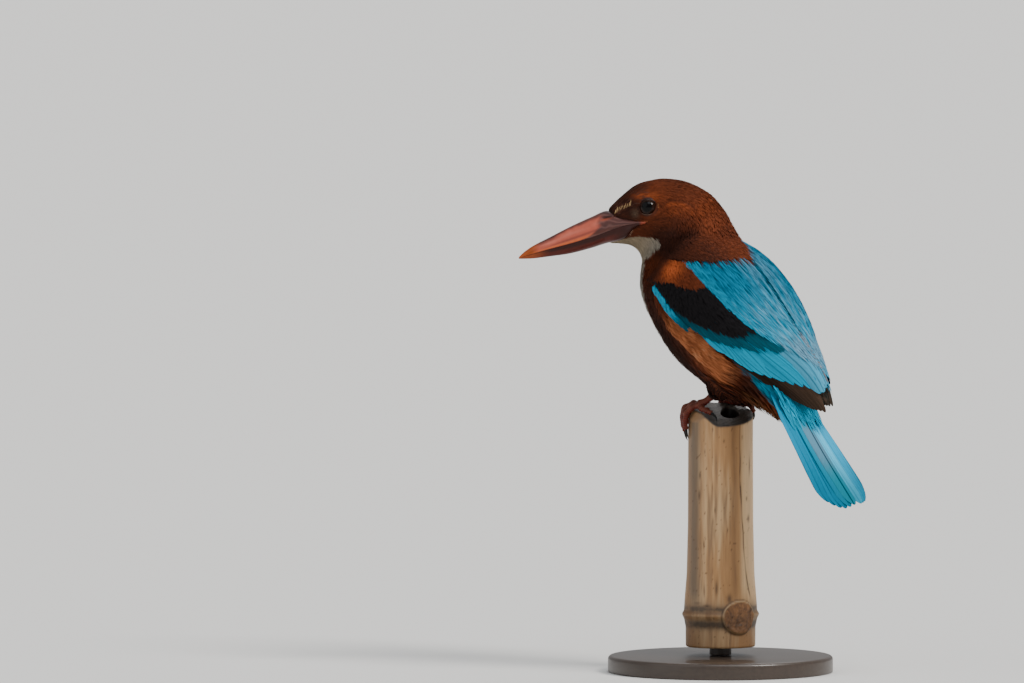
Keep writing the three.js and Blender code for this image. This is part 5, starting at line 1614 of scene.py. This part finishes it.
def stemTint(u, v, points):
    colours = stemColours
    x, y, z = points.T
    low, away, angle = z - rim, np.hypot(x, y), np.arctan2(y, x)
    right = heading(x, y, math.radians(40))[0]
    front = ease(heading(x, y, math.radians(-50))[0], -5, 3)
    wall = front * ease(away, 16.5, 17.2)
    around = stack(np.cos(angle) * 18, np.sin(angle) * 18, z * 0.03)
    streak = ripple(around, 1.6, 3) * 0.6 + ripple(around * (1, 1, 3), 0.7, 6) * 0.4
    blotch = ripple(stack(x, y, z * 0.35), 9, 2)
    left = np.clip(hill(right + 14.8, 3.4) * (1 + 0.3 * streak), 0, 1) * ease(low, -112, -96)
    brown = hill(right - 7 - 0.4 * np.sin(low / 9), 1.7) * ease(low, -108, -90)
    colour = painted(
        colours["straw"], colours,
        ("pale", 0.8 * ease(0.65 * streak + 0.8 * blotch, -0.1, 1.1)),
        ("grey", 0.55 * ease(-streak + 0.6 * blotch, 0.25, 1.1)),
        # painted shade: a grey band down the left of the front
        ("grey", 0.92 * wall * left),
        ("stain", 0.6 * wall * brown * (0.75 + 0.4 * streak)),
        # painted highlight: pale down the right of the front
        (colours["pale"] * 1.15, 0.95 * wall * ease(right, 9.5, 13) * ease(low, -110, -90)),
    )
    for line, wide, strength in cracks:
        line = np.array(line[::-1])
        at = np.interp(low, line[:, 0], line[:, 1])
        inside = ease(low, line[0, 0] - 2, line[0, 0] + 4) * (1 - ease(low, line[-1, 0], line[-1, 0] + 1))
        uneven = np.clip(0.85 + 0.35 * np.sin(low / 4.3 + 2 * np.sin(low / 9.1 + at)), 0, 1)
        mark = hill(right - at + 0.15 * np.sin(low / 3.1), wide) * inside * uneven
        colour = mix(colour, colours["crack"], strength * wall * mark)
    drift = points + 2.6 * stack(ripple(points, 3.7, 31), ripple(points, 4.3, 32), ripple(points, 5.1, 33))
    grime = 0.95 * hill(low + 106.4, 1.9) + hill(low + 115, 2.6)
    grime = grime * (0.7 + 0.4 * blotch + 0.3 * streak + 0.25 * ripple(drift, 1.3, 34))
    far = scarPlace(angle, z - stemFoot)
    onWall = (away > 19) & (z < rim - 90)
    threads = 0.7 * ripple(drift, 0.8, 22) + 0.6 * ripple(drift * (1, 1, 0.5), 1.7, 23)
    scar = mix(colours["fibre"], colours["deep"], np.clip(0.35 + 0.6 * threads, 0, 1))
    specks = ripple(drift, 0.9, 12) * ripple(drift, 1.7, 15)
    colour = painted(
        colour, colours,
        ("stain", 0.65 * hill(low + 108.6, 1.1) * ease(away, 18, 19.5)),
        ("grey", 0.4 * hill(low + 104, 3) * (0.6 + 0.5 * blotch)),
        # grey-brown grime above and below the node, then the fibrous scar with its pale rim
        (0.4 * colours["grey"] + 0.4 * colours["crack"], np.clip(grime, 0, 0.9)),
        ("crack", 0.6 * hill(far - 1.09, 0.05) * onWall),
        (scar, (1 - ease(far, 0.9, 0.98)) * onWall),
        (colours["pale"] * 0.7, 0.8 * hill(far - 1, 0.035) * onWall),
        (0.5 * (colours["stain"] + colours["crack"]), 0.6 * ease(specks, 0.36, 0.5)),
    )
    colour = colour * (1 - 0.45 * ease(-low, 104, 112))[:, None] * (1, 0.96, 0.88)
    # the cut with fibres that run out from the hollow, its grey weathered rim and the stub's lost corner
    cut = cutHeight(x, y)
    cornerLoss = cutHeight(x, y, False) - cut
    fibres = ripple(stack(7 * np.cos(angle), 7 * np.sin(angle), 0), 0.35, 14)
    worn = 0.3 + 0.5 * ease(away, 14.5, 16.8) + 0.35 * fibres + 0.25 * ripple(points, 2.2, 8)
    split = mix(colours["straw"], colours["grey"], 0.5 + 0.3 * blotch)
    face = painted(colours["cut"], colours, ("rim", np.clip(worn, 0, 1)), (split, ease(cornerLoss, 0.2, 0.9)))
    colour = np.where(((low > cut - 0.6) & (low > -14))[:, None], face, colour)
    for at, down, wide, high in dashes:
        colour = mix(colour, colours["crack"], 0.75 * hill(right - at, wide, low + down, high) * front)
    band = ease(low, cut - 1.8, cut - 0.4) * ease(away, 16.5, 17.2) * (low > -14) * ease(right, -9, -5)
    colour = mix(colour, colours["rim"], 0.55 * band * (1 - ease(cornerLoss, 0, 0.4)) * (0.7 + 0.4 * blotch))
    # near black inside the hollow: painted shade
    inside = (low < cut - 0.5) & (away < 15) & (low > -40)
    return np.where(inside[:, None], colours["bore"], colour)


def stemPlace(u, v):
    return rings[np.round(v * (len(rings) - 1)).astype(int), np.round(u * stemSizes["across"]).astype(int)]


stem = wrap("stem", stemSizes["across"], len(rings) - 1, stemPlace, stemTint)
keep(stem, "bamboo", stemFinish, "bamboo", "perch_stem")
print("stem made")


# ---- the display stand
standSizes = {"baseRadius": 62, "baseHeight": 9, "edge": 2, "rodRadius": 6, "clear": 0.3,
              "colour": (0.040, 0.026, 0.018)}


def spin(name, profile, across):
    # a closed turned form from (radius, height) rows
    profile = np.array(profile, float)

    def place(u, v):
        row = np.round(v * (len(profile) - 1)).astype(int)
        radius, height = profile[row].T
        return stack(radius * np.cos(2 * np.pi * u), radius * np.sin(2 * np.pi * u), height)

    return wrap(name, across, len(profile) - 1, place, standSizes["colour"])


def softCorner(radius, height, size, over):
    # a quarter round from the side wall to the top, or from the underside to the side wall
    turns = np.linspace(0, np.pi / 2, 7)
    if over:
        return [(radius - size + size * math.cos(t), height - size + size * math.sin(t)) for t in turns]
    return [(radius - size + size * math.sin(t), height + size - size * math.cos(t)) for t in turns]


baseRadius, baseHeight, clear = (standSizes[key] for key in ("baseRadius", "baseHeight", "clear"))
baseRows = [(0, 0), *softCorner(baseRadius, 0, 0.6, False),
            *softCorner(baseRadius, baseHeight, standSizes["edge"], True), (30, baseHeight), (0, baseHeight)]
rodLow, rodHigh = baseHeight + clear, stemFoot + 12 - clear
rodRows = [(0, rodLow), *softCorner(standSizes["rodRadius"], rodLow, 0.3, False),
           *softCorner(standSizes["rodRadius"], rodHigh, 0.3, True), (0, rodHigh)]
keep(spin("base", baseRows, 160), "stand_plate", standFinish, "stand_finish", "stand_base")
keep(spin("rod", rodRows, 64), "stand_pin", standFinish, "stand_finish", "stand_rod")
print("stand made")


# ---- floor, light and camera
floorMesh = bpy.data.meshes.new("floor")
form = bmesh.new()
bmesh.ops.create_circle(form, cap_ends=True, segments=96, radius=80)
bmesh.ops.translate(form, verts=form.verts, vec=(0, 0, -0.0001))
form.to_mesh(floorMesh)
form.free()
floor = bpy.data.objects.new("floor", floorMesh)
bpy.context.scene.collection.objects.link(floor)
floorFinish, floorShader = newMaterial("floorFinish", 0.9, 0.2)
floorShader.inputs["Base Color"].default_value = (0.72, 0.71, 0.69, 1)
floorMesh.materials.append(floorFinish)

lighting = {"world": (0.86, 0.87, 0.88), "worldStrength": 0.46, "suns": [
    # azimuth and elevation it comes from, energy, spread, colour
    (4, 44, 3.1, 22, (1, 0.975, 0.94)),
    (-42, 60, 0.7, 34, (0.86, 0.93, 1)),
    (-105, 28, 0.5, 60, (0.93, 0.96, 1)),
    (120, 55, 0.8, 40, (1, 1, 1)),
]}


def link(name, data, facing, location=(0, 0, 0)):
    # puts a lamp or the camera into the scene, looking against a direction
    made = bpy.data.objects.new(name, data)
    made.location, made.rotation_euler = location, facing.to_track_quat("Z", "Y").to_euler()
    bpy.context.scene.collection.objects.link(made)
    return made


def direction(azimuth, height):
    az, el = math.radians(azimuth), math.radians(height)
    return Vector((math.cos(az) * math.cos(el), math.sin(az) * math.cos(el), math.sin(el)))


world = bpy.data.worlds.new("studio")
bpy.context.scene.world = world
world.use_nodes = True
fill(world.node_tree.nodes["Background"], {"Color": (*lighting["world"], 1), "Strength": lighting["worldStrength"]})
for number, (azimuth, height, energy, spread, colour) in enumerate(lighting["suns"]):
    sun = bpy.data.lights.new(f"sun{number}", "SUN")
    sun.energy, sun.angle, sun.color = energy, math.radians(spread), colour
    link(f"sun{number}", sun, direction(azimuth, height))

camera = {"azimuth": 40, "elevation": 2.5, "distance": 5.0, "sensor": 36, "frameWidth": 563.2, "right": -114.8,
          "up": 39.9}
view = bpy.data.cameras.new("camera")
view.sensor_width = camera["sensor"]
view.lens = camera["sensor"] * camera["distance"] / (camera["frameWidth"] * mm)
view.clip_start, view.clip_end = 0.1, 200
turn, lift = math.radians(camera["azimuth"]), math.radians(camera["elevation"])
aim = Vector((camera["right"] * math.cos(turn), camera["right"] * math.sin(turn), rim + camera["up"])) * mm
back = Vector((math.sin(turn) * math.cos(lift), -math.cos(turn) * math.cos(lift), math.sin(lift)))
bpy.context.scene.camera = link("camera", view, back, aim + back * camera["distance"])
print("camera set")
